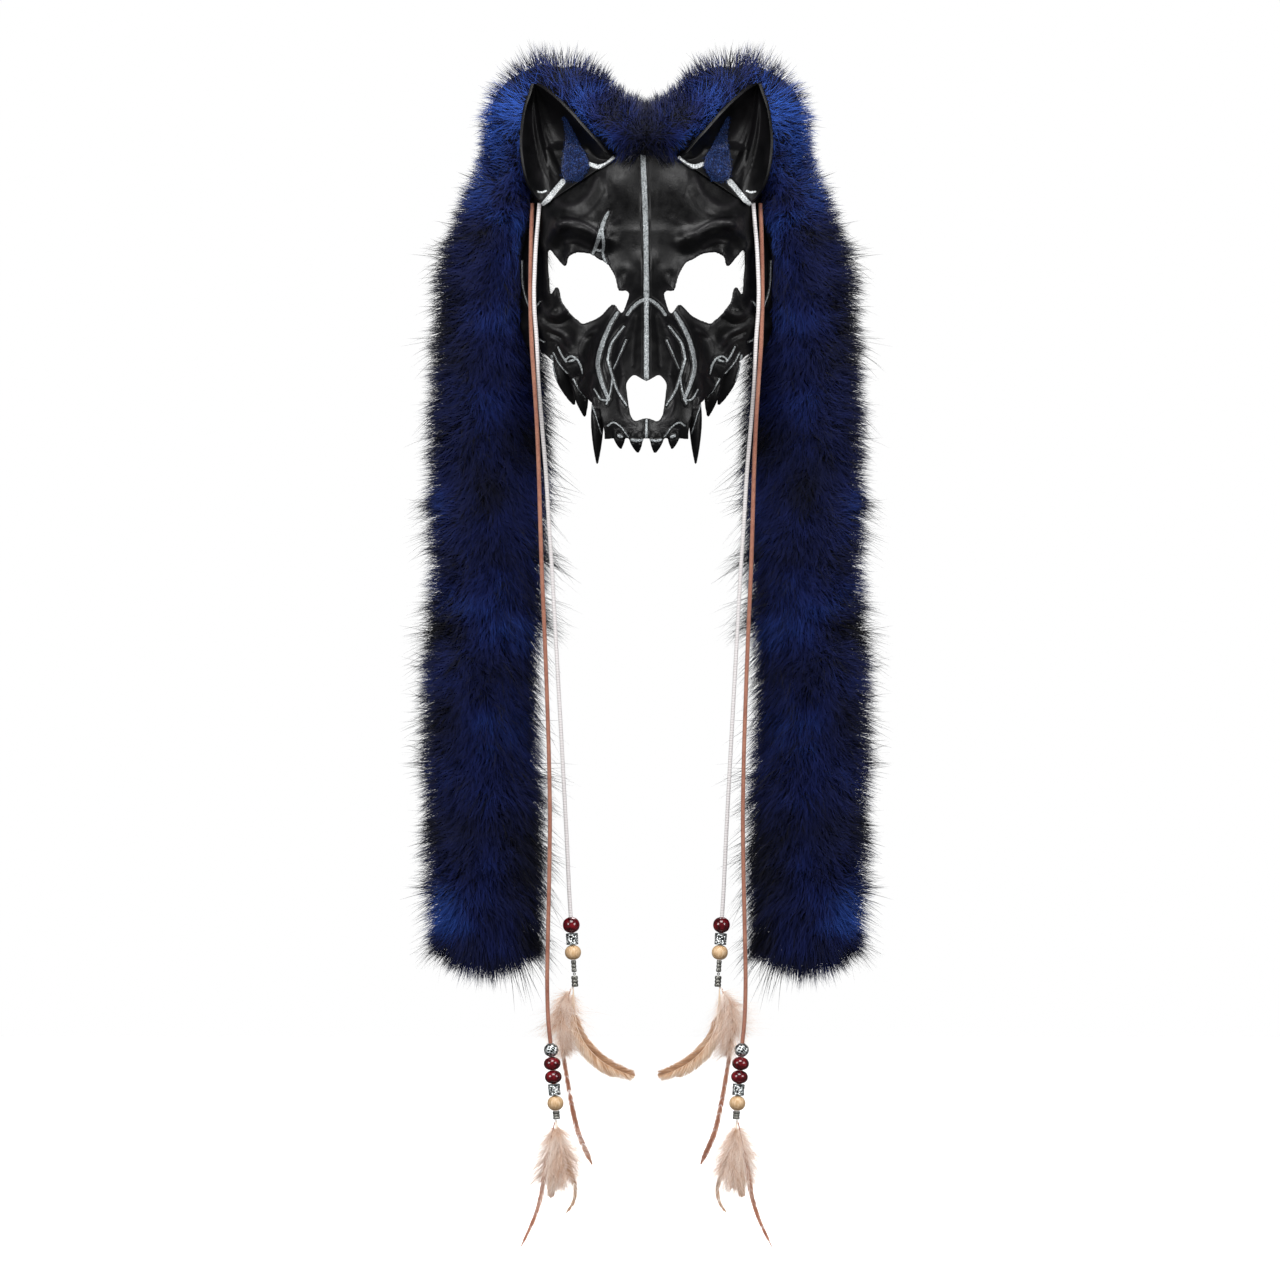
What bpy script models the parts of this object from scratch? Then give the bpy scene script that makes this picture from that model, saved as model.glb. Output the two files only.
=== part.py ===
"""Wolf skull mask with ears, long fur tails and beaded feather cords, in metres.

X runs across the face, Y runs back into the head and Z is up. The origin is the middle of the
brow on the mask's inner face. In the tables x is a share of HALF_WIDTH, and z is a share of
CROWN_RISE above the origin and of JAW_DROP below it, unless a table names other sizes.
"""
import itertools
import math

import bmesh
import bpy
import numpy as np
from mathutils import Matrix, Vector
from mathutils.bvhtree import BVHTree

# Skull shell
HALF_WIDTH = 0.095  # from the middle of the face to the side of the cheek
CROWN_RISE = 0.057  # from the brow up to the shell's top edge
JAW_DROP = 0.1605  # from the brow down to the jaw's underside
FACE_DEPTH = 0.100  # from the nose to the sides, front to back
SHELL_WALL = 0.0025
GRID_ACROSS = 24
GRID_DOWN = 27

# Fits
SEAT_GAP = 0.0003  # between pieces that touch
LINING_GAP = 0.0008  # between a plush insert and the curved ear behind it
BORE_CLEAR = 0.0004  # round a cord inside a bead
CUTTER_ROOM = 0.0023  # more than the wall that a seat in the fur is cut for
SEAT_ROUNDS = 3  # times the insert is lifted off the ear behind it
SEAT_STEPS = 4  # spots tried along each side of a facet of the insert

# Ears
EAR_INNER = 0.0224  # from the middle of the face to the ear's inner corner
EAR_LOW = 0.019  # from the brow up to the ear's lowest corner
EAR_WIDE = 0.0705
EAR_TALL = 0.0914
EAR_DEEP = 0.030
EAR_WALL = 0.0022
LINING_THICK = 0.0020
CUP_CURVE = 2.2  # how flat the floor of the ear is between its edges
EAR_LEAN_BACK = 1.5  # how far the ear may go back per rise above the shell

# Fur strip
FUR_REACH = 0.166  # from the middle of the face to the tail's outer side
FUR_DROP = 0.566  # from the brow down to the tail's end
FUR_BACK = 0.072  # from the brow back to the middle of the hanging tail
FUR_WIDE = 0.088
FUR_DEEP = 0.056
FUR_SIDES = 11
LOCK_LONG = 0.011
LOCK_EVERY = 3  # one side face in so many grows a lock
LOCK_OUT = 0.8  # a lock's shares of LOCK_LONG outwards and down, and its tip's share of its root
LOCK_DOWN = 0.7
LOCK_TIP = 0.35
FUR_PART = 0.0008  # half the gap between the two strips at the crown

# Cords and what is threaded on them
WHITE_THICK = 0.0030
BROWN_THICK = 0.0032
ROUND_BEAD = 0.0127
ROUND_HIGH = 0.0098
TOP_BEAD_HIGH = 0.0116
WOOD_BEAD = 0.0122
WOOD_HIGH = 0.0110
SILVER_BEAD = 0.0103
SILVER_HIGH = 0.0100
BARREL_BEAD = 0.0090
BARREL_HIGH = 0.0088
BEAD_SIDES = 10
WHITE_CRIMP = (0.0038, 0.0090)  # diameter, length
BROWN_CRIMP = (0.0054, 0.0063)
FEATHER_CRIMP = (0.0050, 0.0082)
LINK_WIDE = 0.0023
LINK_WIRE = 0.0007
CORD_POINTS = 28

# Head strap
STRAP_HEIGHT = 0.005  # from the brow up to the middle of the strap
STRAP_TALL = 0.010
STRAP_THICK = 0.0015
SHELL_SLANT = 1.6  # the slanting wall's depth at the strap, in walls
STRAP_HALF = 0.072  # half the width of the loop
STRAP_BACK = 0.187  # from the brow back to the loop's far side

# Routes of the two cords on the +X side, from the ear down to the crimp
WHITE_ROUTE = [
    (0.0804, 0.0262, 0.0210), (0.0817, 0.0262, 0.0045), (0.0830, 0.0260, -0.0100),
    (0.0840, 0.0257, -0.0300), (0.0845, 0.0252, -0.0450), (0.0841, 0.0249, -0.0600),
    (0.0826, 0.0257, -0.0800), (0.0812, 0.0274, -0.1120), (0.0786, 0.0292, -0.1450),
    (0.0757, 0.0308, -0.1800), (0.0736, 0.0319, -0.2150), (0.0713, 0.0326, -0.2500),
    (0.0685, 0.0332, -0.3000), (0.0656, 0.0335, -0.3520), (0.0627, 0.0335, -0.4050),
    (0.0598, 0.0335, -0.4600), (0.0579, 0.0335, -0.5000), (0.0569, 0.0335, -0.5160),
    (0.0559, 0.0335, -0.5320), (0.0549, 0.0335, -0.5481),
]
BROWN_ROUTE = [
    (0.0856, 0.0306, 0.0210), (0.0864, 0.0298, 0.0045), (0.0869, 0.0291, -0.0150),
    (0.0872, 0.0283, -0.0350), (0.0873, 0.0275, -0.0500), (0.0870, 0.0267, -0.0650),
    (0.0863, 0.0258, -0.0850), (0.0844, 0.0245, -0.1120), (0.0825, 0.0232, -0.1420),
    (0.0809, 0.0218, -0.1800), (0.0799, 0.0207, -0.2150), (0.0788, 0.0198, -0.2500),
    (0.0766, 0.0189, -0.3000), (0.0746, 0.0182, -0.3520), (0.0731, 0.0180, -0.4000),
    (0.0725, 0.0180, -0.4400), (0.0729, 0.0180, -0.4800), (0.0740, 0.0180, -0.5300),
    (0.0745, 0.0180, -0.5700), (0.0736, 0.0180, -0.5950), (0.07187, 0.0180, -0.6120),
    (0.07057, 0.0180, -0.6280), (0.06928, 0.0180, -0.6440), (0.0679, 0.0180, -0.6610),
]

# Face sections: height, half width, then depth at 0, 0.2, 0.4, 0.6, 0.8 and 1 of HALF_WIDTH
FACE_SECTIONS = [
    (1.00, 0.68, 0.04, 0.05, 0.10, 0.19, 0.32, 0.48),
    (0.50, 0.88, -0.02, 0.00, 0.05, 0.12, 0.26, 0.44),
    (0.00, 0.95, -0.06, -0.035, 0.02, 0.085, 0.22, 0.43),
    (-0.12, 1.00, -0.10, -0.05, 0.04, 0.11, 0.25, 0.44),
    (-0.28, 1.00, -0.18, -0.09, 0.07, 0.14, 0.27, 0.45),
    (-0.40, 1.00, -0.27, -0.17, 0.01, 0.11, 0.25, 0.45),
    (-0.53, 0.99, -0.36, -0.28, -0.09, 0.07, 0.23, 0.45),
    (-0.69, 0.95, -0.45, -0.39, -0.20, 0.01, 0.20, 0.45),
    (-0.84, 0.95, -0.50, -0.46, -0.29, -0.05, 0.18, 0.45),
    (-0.98, 0.95, -0.52, -0.49, -0.33, -0.08, 0.17, 0.45),
]
SECTION_STATIONS = (0.0, 0.2, 0.4, 0.6, 0.8, 1.0)

# Ridges and hollows: name, from x, from z, to x, to z, spread, rise; a hollow's rise is negative
FACE_RELIEF = [
    ("brow", 0.32, -0.04, 0.68, 0.08, 0.075, 0.075),
    ("brow_end", 0.68, 0.08, 0.80, -0.06, 0.070, 0.050),
    ("eye_process", 0.60, -0.09, 0.65, -0.16, 0.050, 0.030),
    ("forehead_furrow", 0.00, 0.90, 0.00, -0.08, 0.080, -0.020),
    ("forehead_dome", 0.30, 0.60, 0.42, 0.30, 0.170, 0.045),
    ("temple_hollow", 0.84, 0.10, 0.88, -0.18, 0.080, -0.030),
    ("nose_ridge", 0.00, -0.20, 0.00, -0.68, 0.085, 0.035),
    ("nose_side", 0.17, -0.22, 0.20, -0.40, 0.060, -0.030),
    ("cheekbone", 0.64, -0.36, 0.98, -0.44, 0.085, 0.065),
    ("cheek_process", 0.71, -0.28, 0.74, -0.36, 0.050, 0.030),
    ("cheek_hollow", 0.62, -0.50, 0.82, -0.54, 0.065, -0.035),
    ("under_eye_hollow", 0.47, -0.52, 0.53, -0.63, 0.070, -0.050),
    ("canine_root", 0.36, -0.60, 0.39, -0.88, 0.065, 0.050),
    ("muzzle_groove", 0.22, -0.50, 0.29, -0.66, 0.040, -0.020),
    ("jaw_roll", 0.00, -0.95, 0.24, -0.94, 0.060, 0.025),
]

# Outlines cut through the shell, right side: x, z
EYE_OUTLINE = [
    (0.777, -0.085), (0.646, -0.168), (0.615, -0.122), (0.544, -0.101), (0.438, -0.109),
    (0.368, -0.135), (0.304, -0.155), (0.248, -0.214), (0.216, -0.280), (0.163, -0.282),
    (0.135, -0.302), (0.157, -0.351), (0.178, -0.384), (0.199, -0.391), (0.255, -0.353),
    (0.291, -0.364), (0.361, -0.406), (0.495, -0.439), (0.544, -0.422), (0.615, -0.381),
    (0.672, -0.330), (0.692, -0.276), (0.714, -0.266), (0.763, -0.293),
]
NOSE_OUTLINE = [
    (0.000, -0.711), (0.098, -0.683), (0.155, -0.720), (0.151, -0.770), (0.140, -0.820),
    (0.125, -0.870), (0.087, -0.898), (0.000, -0.883),
]
CHEEK_UNDERSIDE = [
    (0.330, -1.250), (0.330, -0.950), (0.370, -0.840), (0.447, -0.802), (0.475, -0.780),
    (0.530, -0.740), (0.606, -0.688), (0.680, -0.640), (0.767, -0.597), (0.860, -0.550),
    (1.100, -0.520), (1.100, -1.250),
]

# Teeth: name, root x, root z, tip x, tip z, width, thickness, lean of the tip to the back
TEETH = [
    ("canine", 0.385, -0.780, 0.388, -1.098, 0.105, 0.100, 0.05),
    ("side_incisor", 0.222, -0.930, 0.201, -1.029, 0.100, 0.070, 0.01),
    ("front_incisor", 0.090, -0.945, 0.066, -1.047, 0.110, 0.070, 0.01),
    ("front_premolar", 0.540, -0.680, 0.486, -0.873, 0.128, 0.075, 0.03),
    ("back_premolar", 0.690, -0.605, 0.571, -0.817, 0.155, 0.060, 0.03),
]
TOOTH_FORM = [(0.00, 0.80), (0.35, 1.00), (0.75, 0.62), (1.00, 0.16)]  # share along it, width
TOOTH_SIDES = 6

# Ear sections: inner x, inner z, inner y, outer x, outer z, outer y, cup depth
# x and z are shares of EAR_WIDE and EAR_TALL, y and the cup are shares of EAR_DEEP
EAR_SECTIONS = [
    (0.02, 0.383, 0.10, 0.783, 0.000, 0.70, 0.00),
    (0.12, 0.430, -0.10, 0.870, 0.090, 0.50, 0.55),
    (0.22, 0.520, -0.10, 0.955, 0.230, 0.42, 0.80),
    (0.34, 0.620, -0.03, 0.998, 0.430, 0.42, 0.90),
    (0.48, 0.745, 0.13, 1.000, 0.600, 0.48, 0.85),
    (0.64, 0.870, 0.37, 0.968, 0.790, 0.60, 0.58),
    (0.77, 0.955, 0.60, 0.915, 0.915, 0.70, 0.30),
    (0.855, 0.995, 0.77, 0.880, 1.000, 0.78, 0.05),
]
EAR_ACROSS = 8
EAR_UP = 9
EAR_FOLD = (0.42, 0.16, 0.10)  # place across the cup, spread, rise as a share of EAR_DEEP
EAR_FORWARD = 0.20  # how far the ear's cutter reaches forwards
EAR_EDGE_ROOM = 1.03  # the cutter's width against the ear's

# Plush insert: share up the ear, from and to across the cup
LINING_SECTIONS = [
    (0.02, -0.22, 0.08),
    (0.07, -0.43, 0.22),
    (0.16, -0.56, 0.19),
    (0.27, -0.64, 0.05),
    (0.40, -0.72, -0.24),
    (0.57, -0.80, -0.60),
]

# Fur sections: x, z, y, half width, half depth, as shares of FUR_REACH, FUR_DROP, FUR_BACK,
# FUR_WIDE and FUR_DEEP
FUR_SECTIONS = [
    (0.000, 0.124, 0.33, 0.25, 0.56),
    (0.116, 0.132, 0.33, 0.28, 0.58),
    (0.250, 0.146, 0.53, 0.36, 0.56),
    (0.385, 0.164, 0.66, 0.42, 0.57),
    (0.505, 0.150, 0.75, 0.41, 0.59),
    (0.560, 0.097, 0.80, 0.33, 0.58),
    (0.626, 0.039, 0.82, 0.34, 0.57),
    (0.692, -0.034, 0.88, 0.40, 0.55),
    (0.712, -0.130, 0.94, 0.43, 0.52),
    (0.707, -0.230, 0.99, 0.47, 0.50),
    (0.705, -0.350, 1.00, 0.48, 0.50),
    (0.718, -0.490, 1.00, 0.44, 0.48),
    (0.748, -0.620, 1.00, 0.45, 0.50),
    (0.735, -0.755, 1.00, 0.47, 0.50),
    (0.722, -0.885, 1.00, 0.47, 0.50),
    (0.722, -0.955, 1.00, 0.40, 0.42),
    (0.722, -1.000, 1.00, 0.22, 0.22),
]
FUR_RINGS = 21

# Feather forms: x, z from the clamp, half width, half thickness, in shares of PLUME_LONG
PLUME_LONG = 0.063
WHITE_FLUFF = [
    (0.00, 0.000, 0.034, 0.034), (0.03, -0.18, 0.11, 0.08), (0.08, -0.42, 0.19, 0.12),
    (0.09, -0.67, 0.21, 0.12), (0.08, -0.86, 0.12, 0.07),
]
WHITE_QUILL = [
    (0.09, -1.00, 0.06, 0.02), (0.02, -1.45, 0.055, 0.015), (-0.11, -1.80, 0.04, 0.012),
    (-0.27, -2.14, 0.012, 0.010),
]
WHITE_BLADE = [
    (-0.18, -0.62, 0.06, 0.03), (-0.38, -0.87, 0.07, 0.015), (-0.58, -1.03, 0.068, 0.015),
    (-0.75, -1.13, 0.012, 0.010),
]
BROWN_FLUFF = [
    (0.00, 0.000, 0.038, 0.038), (-0.01, -0.20, 0.14, 0.10), (-0.03, -0.50, 0.31, 0.15),
    (-0.03, -0.70, 0.35, 0.16), (-0.03, -0.89, 0.26, 0.12), (-0.01, -1.00, 0.13, 0.07),
]
BROWN_QUILL = [
    (0.00, -1.08, 0.05, 0.02), (0.01, -1.15, 0.012, 0.010),
]
BROWN_BLADE = [
    (0.28, -0.90, 0.06, 0.03), (0.24, -1.07, 0.06, 0.015), (0.33, -1.33, 0.05, 0.012),
    (0.43, -1.60, 0.012, 0.010),
]
PLUME_SIDES = 8
BLADE_DROOP = -0.6  # how far the side that a blade grows from faces down
BLADE_SEAT = 0.13  # half the height of that side

SIDES = (("left", -1.0), ("right", 1.0))
SHARP_ANGLE = 40.0


# Materials

def finish(name, colour, roughness, metallic=0.0):
    material = bpy.data.materials.new(name)
    material.use_nodes = True
    shader = material.node_tree.nodes["Principled BSDF"]
    shader.inputs["Base Color"].default_value = (*colour, 1.0)
    shader.inputs["Roughness"].default_value = roughness
    shader.inputs["Metallic"].default_value = metallic
    return material


def place(name, bm, material):
    """A new object for one piece, shaded smooth across all but its sharp edges."""
    if all(len(edge.link_faces) == 2 for edge in bm.edges):
        bmesh.ops.recalc_face_normals(bm, faces=bm.faces[:])
        if bm.calc_volume(signed=True) < 0:
            bmesh.ops.reverse_faces(bm, faces=bm.faces[:])
    mesh = bpy.data.meshes.new(name)
    bm.to_mesh(mesh)
    bm.free()
    mesh.materials.append(material)
    mesh.shade_smooth()
    mesh.set_sharp_from_angle(angle=math.radians(SHARP_ANGLE))
    piece = bpy.data.objects.new(name, mesh)
    bpy.context.scene.collection.objects.link(piece)
    return piece


def hide_guide(piece):
    piece.hide_render = True
    piece.display_type = "WIRE"
    return piece


def cut_by(piece, guide, operation="DIFFERENCE"):
    modifier = piece.modifiers.new(guide.name, "BOOLEAN")
    modifier.operation = operation
    modifier.solver = "EXACT"
    modifier.object = guide
    return modifier


def keep_main_body(piece):
    """Applies the cuts and drops the crumbs that they leave, so that one closed body stays."""
    shown = piece.evaluated_get(bpy.context.evaluated_depsgraph_get())
    mesh = bpy.data.meshes.new_from_object(shown)
    bm = bmesh.new()
    bm.from_mesh(mesh)
    bpy.data.meshes.remove(mesh)
    bodies = []
    left = set(bm.verts)
    while left:
        body = {left.pop()}
        todo = list(body)
        while todo:
            for edge in todo.pop().link_edges:
                for vert in edge.verts:
                    if vert not in body:
                        body.add(vert)
                        todo.append(vert)
        left -= body
        bodies.append(body)
    main = max(bodies, key=len)
    bmesh.ops.delete(bm, geom=[v for v in bm.verts if v not in main], context="VERTS")
    bmesh.ops.triangulate(bm, faces=bm.faces[:])
    piece.modifiers.clear()
    bm.to_mesh(piece.data)
    bm.free()
    piece.data.shade_smooth()
    piece.data.set_sharp_from_angle(angle=math.radians(SHARP_ANGLE))


# Forms shared by several pieces

def smooth_between(stations, values, at):
    """A smooth curve through the values, read at one station; stations rise."""
    stations = np.asarray(stations, float)
    values = np.asarray(values, float)
    at = min(max(at, stations[0]), stations[-1])
    i = min(int(np.searchsorted(stations, at, side="right")) - 1, len(stations) - 2)
    slopes = np.gradient(values, stations, axis=0)
    step = stations[i + 1] - stations[i]
    t = (at - stations[i]) / step
    rise = values[i] * (2 * t**3 - 3 * t**2 + 1) + values[i + 1] * (3 * t**2 - 2 * t**3)
    return rise + step * (slopes[i] * (t**3 - 2 * t**2 + t) + slopes[i + 1] * (t**3 - t**2))


def along_route(points, count):
    """Evenly spaced points on one smooth curve through the route's points."""
    points = np.asarray(points, float)
    runs = np.linalg.norm(np.diff(points, axis=0), axis=1)
    stations = np.concatenate([[0.0], np.cumsum(runs)])
    return [smooth_between(stations, points, at) for at in np.linspace(0, stations[-1], count)]


def ring_points(centre, across, through, half_wide, half_deep, sides):
    """One ring of a loft: points round a centre, from two directions and their half sizes."""
    turns = [2 * math.pi * k / sides for k in range(sides)]
    return [
        Vector(centre) + across * (half_wide * math.cos(a)) + through * (half_deep * math.sin(a))
        for a in turns
    ]


def loft(rings):
    """A closed body through rings of equal counts: a capped tube whose top face is drawn on."""
    bm = bmesh.new()
    bmesh.ops.create_cone(
        bm, cap_ends=True, segments=len(rings[0]), radius1=1.0, radius2=1.0, depth=1.0
    )
    top = max(bm.faces, key=lambda f: f.calc_center_median().z)
    pairs = []
    for vert in top.verts:
        below = [e.other_vert(vert) for e in vert.link_edges]
        pairs.append((vert, next(v for v in below if v not in top.verts)))
    for (vert, below), high, low in zip(pairs, rings[1], rings[0]):
        vert.co = high
        below.co = low
    for ring in rings[2:]:
        top = grow(bm, top, ring)
    return bm, top


def grow(bm, face, ring):
    """Extrudes a face and moves its corners to the next ring."""
    grown = bmesh.ops.extrude_discrete_faces(bm, faces=[face])["faces"][0]
    for vert, point in zip(grown.verts, ring):
        vert.co = point
    return grown


def turned(profile, sides):
    """A drilled body: a closed profile of radius and height spun all the way round Z."""
    bm = bmesh.new()
    verts = [bm.verts.new((radius, 0.0, height)) for radius, height in profile]
    edges = [bm.edges.new((a, b)) for a, b in zip(verts, verts[1:] + verts[:1])]
    bmesh.ops.spin(
        bm, geom=verts + edges, cent=(0, 0, 0), axis=(0, 0, 1), angle=2 * math.pi,
        steps=sides, use_merge=True,
    )
    bmesh.ops.remove_doubles(bm, verts=bm.verts[:], dist=1e-6)
    return bm


# Skull shell

def high(share):
    """Height above the brow for a share of the crown's rise or the jaw's drop."""
    return share * (CROWN_RISE if share > 0 else JAW_DROP)


def high_share(z):
    return z / (CROWN_RISE if z > 0 else JAW_DROP)


def section_at(share):
    rows = FACE_SECTIONS[::-1]
    return smooth_between([row[0] for row in rows], [row[1:] for row in rows], share)


def near_segment(x, z, x1, z1, x2, z2):
    """Distance on the face from a point to a segment, as a share of HALF_WIDTH."""
    a = np.array([x1, high(z1) / HALF_WIDTH])
    b = np.array([x2, high(z2) / HALF_WIDTH])
    point = np.array([x, z / HALF_WIDTH])
    t = np.clip(np.dot(point - a, b - a) / max(np.dot(b - a, b - a), 1e-9), 0, 1)
    return float(np.linalg.norm(point - a - t * (b - a)))


def plain_depth(x, z):
    share = min(abs(x) / HALF_WIDTH, 1.0)
    depths = section_at(high_share(z))[1:]
    depth = float(smooth_between(SECTION_STATIONS, depths, share))
    for _, x1, z1, x2, z2, spread, rise in FACE_RELIEF:
        depth -= rise * math.exp(-((near_segment(share, z, x1, z1, x2, z2) / spread) ** 2))
    return depth * FACE_DEPTH


BROW_DEPTH = plain_depth(0.0, 0.0)


def face_front(x, z):
    """Y of the shell's outer face, with the inner face at the brow on Y = 0."""
    return plain_depth(x, z) - BROW_DEPTH - SHELL_WALL


def half_width(z):
    return float(section_at(high_share(z))[0]) * HALF_WIDTH


def face_sheet(bm, room, back):
    """The face as a grid, widened by room and moved back by back."""
    bmesh.ops.create_grid(bm, x_segments=GRID_ACROSS, y_segments=GRID_DOWN, size=1.0)
    low = high(FACE_SECTIONS[-1][0])
    for vert in bm.verts:
        z = low + (CROWN_RISE - low) * (vert.co.y + 1) / 2
        x = vert.co.x * half_width(z)
        rise = room if vert.co.y > 0.999 else 0.0
        side = room * vert.co.x
        vert.co = (x + side, face_front(x, z) + back, z + rise)


def outline_cutter(name, outline, sign, material):
    """A prism through the shell from an outline of x and z shares."""
    bm = bmesh.new()
    front = -FACE_DEPTH
    verts = [bm.verts.new((sign * x * HALF_WIDTH, front, high(z))) for x, z in outline]
    face = bm.faces.new(verts)
    grown = bmesh.ops.extrude_face_region(bm, geom=[face])["geom"]
    moved = [v for v in grown if isinstance(v, bmesh.types.BMVert)]
    bmesh.ops.translate(bm, verts=moved, vec=(0, 2 * FACE_DEPTH, 0))
    return hide_guide(place(name, bm, material))


def tooth(name, row, sign, material):
    _, root_x, root_z, tip_x, tip_z, wide, thick, lean = row
    start = Vector((sign * root_x * HALF_WIDTH, 0.0, high(root_z)))
    start.y = face_front(start.x, start.z) + SHELL_WALL / 2
    end = Vector((sign * tip_x * HALF_WIDTH, start.y + lean * FACE_DEPTH, high(tip_z)))
    down = (end - start).normalized()
    across = Vector((0, 1, 0)).cross(down).normalized()
    through = down.cross(across)
    rings = []
    for share, size in TOOTH_FORM:
        centre = start.lerp(end, share)
        centre.y = start.y + (end.y - start.y) * share**2
        half = size * HALF_WIDTH / 2
        rings.append(ring_points(centre, across, through, half * wide, half * thick, TOOTH_SIDES))
    bm, _ = loft(rings)
    return hide_guide(place(name, bm, material))


def make_mask_shell():
    material = finish("moulded_black_shell", (0.012, 0.012, 0.014), 0.38)
    bm = bmesh.new()
    face_sheet(bm, 0.0, 0.0)
    shell = place("mask_shell", bm, material)
    wall = shell.modifiers.new("wall", "SOLIDIFY")
    wall.thickness = SHELL_WALL
    wall.offset = -1.0
    wall.use_even_offset = True
    nose = NOSE_OUTLINE + [(-x, z) for x, z in NOSE_OUTLINE[-2:0:-1]]
    cut_by(shell, outline_cutter("nose_cutter", nose, 1.0, material))
    for side, sign in SIDES:
        cut_by(shell, outline_cutter("eye_cutter_" + side, EYE_OUTLINE, sign, material))
        cut_by(shell, outline_cutter("cheek_cutter_" + side, CHEEK_UNDERSIDE, sign, material))
        for row in TEETH:
            guide = tooth(row[0] + "_" + side, row, sign, material)
            cut_by(shell, guide, "UNION")
    keep_main_body(shell)


# Ears

def ear_point(across, up, sign):
    """A point of the ear's inner face: across runs from -1 inside to 1 outside, up from 0 to 1."""
    stations = np.linspace(0, 1, len(EAR_SECTIONS))
    row = smooth_between(stations, EAR_SECTIONS, up)
    inner = np.array([row[0] * EAR_WIDE, row[2] * EAR_DEEP, row[1] * EAR_TALL])
    outer = np.array([row[3] * EAR_WIDE, row[5] * EAR_DEEP, row[4] * EAR_TALL])
    x, y, z = inner + (outer - inner) * (across + 1) / 2
    x += EAR_INNER
    z += EAR_LOW
    place_across, spread, rise = EAR_FOLD
    y += row[6] * EAR_DEEP * (1 - abs(across) ** CUP_CURVE)
    y -= rise * row[6] * EAR_DEEP * math.exp(-(((across - place_across) / spread) ** 2))
    seat = face_front(x, min(z, CROWN_RISE)) - SEAT_GAP - EAR_WALL
    free = max(0.0, z - CROWN_RISE - 2 * EAR_WALL) * EAR_LEAN_BACK
    y = min(y, seat - SEAT_GAP * 3 + free)
    return Vector((sign * x, y, z))


def ear_sheet(bm, sign, widen=1.0):
    bmesh.ops.create_grid(bm, x_segments=EAR_ACROSS, y_segments=EAR_UP, size=1.0)
    for vert in bm.verts:
        across = vert.co.x * sign
        up = (vert.co.y + 1) / 2
        point = ear_point(across, up, sign)
        middle = ear_point(0.0, up, sign)
        vert.co = point
        vert.co.x = middle.x + (point.x - middle.x) * widen
        vert.co.z = middle.z + (point.z - middle.z) * widen


def make_ear(side, sign):
    bm = bmesh.new()
    ear_sheet(bm, sign)
    ear = place("ear_" + side, bm, finish("moulded_black_ear_" + side, (0.012, 0.012, 0.014), 0.42))
    wall = ear.modifiers.new("wall", "SOLIDIFY")
    wall.thickness = EAR_WALL
    wall.offset = -1.0


def seat_behind(tree, x, z):
    """The y of the first surface that a line straight back from the front meets."""
    return tree.ray_cast(Vector((x, -FACE_DEPTH, z)), Vector((0, 1, 0)))[0].y


def sum_of(verts, shares):
    """A point between three corners, by its share of each."""
    return sum((vert.co * share for vert, share in zip(verts, shares)), Vector())


def make_lining(side, sign):
    """The plush insert: a pad laid on the ear's inner face, found by looking straight back."""
    ear = bpy.data.objects["ear_" + side]
    tree = BVHTree.FromObject(ear, bpy.context.evaluated_depsgraph_get())
    bm = bmesh.new()
    bmesh.ops.create_grid(bm, x_segments=4, y_segments=6, size=1.0)
    stations = [row[0] for row in LINING_SECTIONS]
    for vert in bm.verts:
        share = (vert.co.y + 1) / 2
        up = stations[0] + (stations[-1] - stations[0]) * share
        start, end = smooth_between(stations, [row[1:] for row in LINING_SECTIONS], up)
        across = start + (end - start) * (vert.co.x * sign + 1) / 2
        point = ear_point(across, up, sign)
        vert.co = (point.x, seat_behind(tree, point.x, point.z) - LINING_GAP, point.z)
    bmesh.ops.triangulate(bm, faces=bm.faces[:])
    for _ in range(SEAT_ROUNDS):
        for face in bm.faces:
            lift = 0.0
            for shares in itertools.product(range(SEAT_STEPS + 1), repeat=2):
                if sum(shares) > SEAT_STEPS:
                    continue
                a, b = (share / SEAT_STEPS for share in shares)
                spot = sum_of(face.verts, (a, b, 1 - a - b))
                lift = max(lift, spot.y - seat_behind(tree, spot.x, spot.z) + LINING_GAP)
            for vert in face.verts:
                vert.co.y -= lift
    lining = place("ear_lining_" + side, bm, finish("blue_plush_" + side, (0.02, 0.05, 0.22), 0.95))
    wall = lining.modifiers.new("pad", "SOLIDIFY")
    wall.thickness = LINING_THICK
    wall.offset = 1.0


# Fur

def fur_row(at):
    stations = np.linspace(0, 1, len(FUR_SECTIONS))
    x, z, y, wide, deep = smooth_between(stations, FUR_SECTIONS, at)
    x = FUR_PART + x * (FUR_REACH - FUR_PART)
    return np.array([x, y * FUR_BACK, z * FUR_DROP, wide * FUR_WIDE, deep * FUR_DEEP])


def fur_ring(at, sign):
    row = fur_row(at)
    ahead = fur_row(min(at + 0.01, 1.0)) - fur_row(max(at - 0.01, 0.0))
    run = Vector((ahead[0], 0.0, ahead[2] if at > 0 else 0.0)).normalized()
    across = Vector((0, 1, 0)).cross(run)
    ring = ring_points(row[:3], across, Vector((0, 1, 0)), row[3], row[4], FUR_SIDES)
    return [Vector((sign * p.x, p.y, p.z)) for p in ring]


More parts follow.
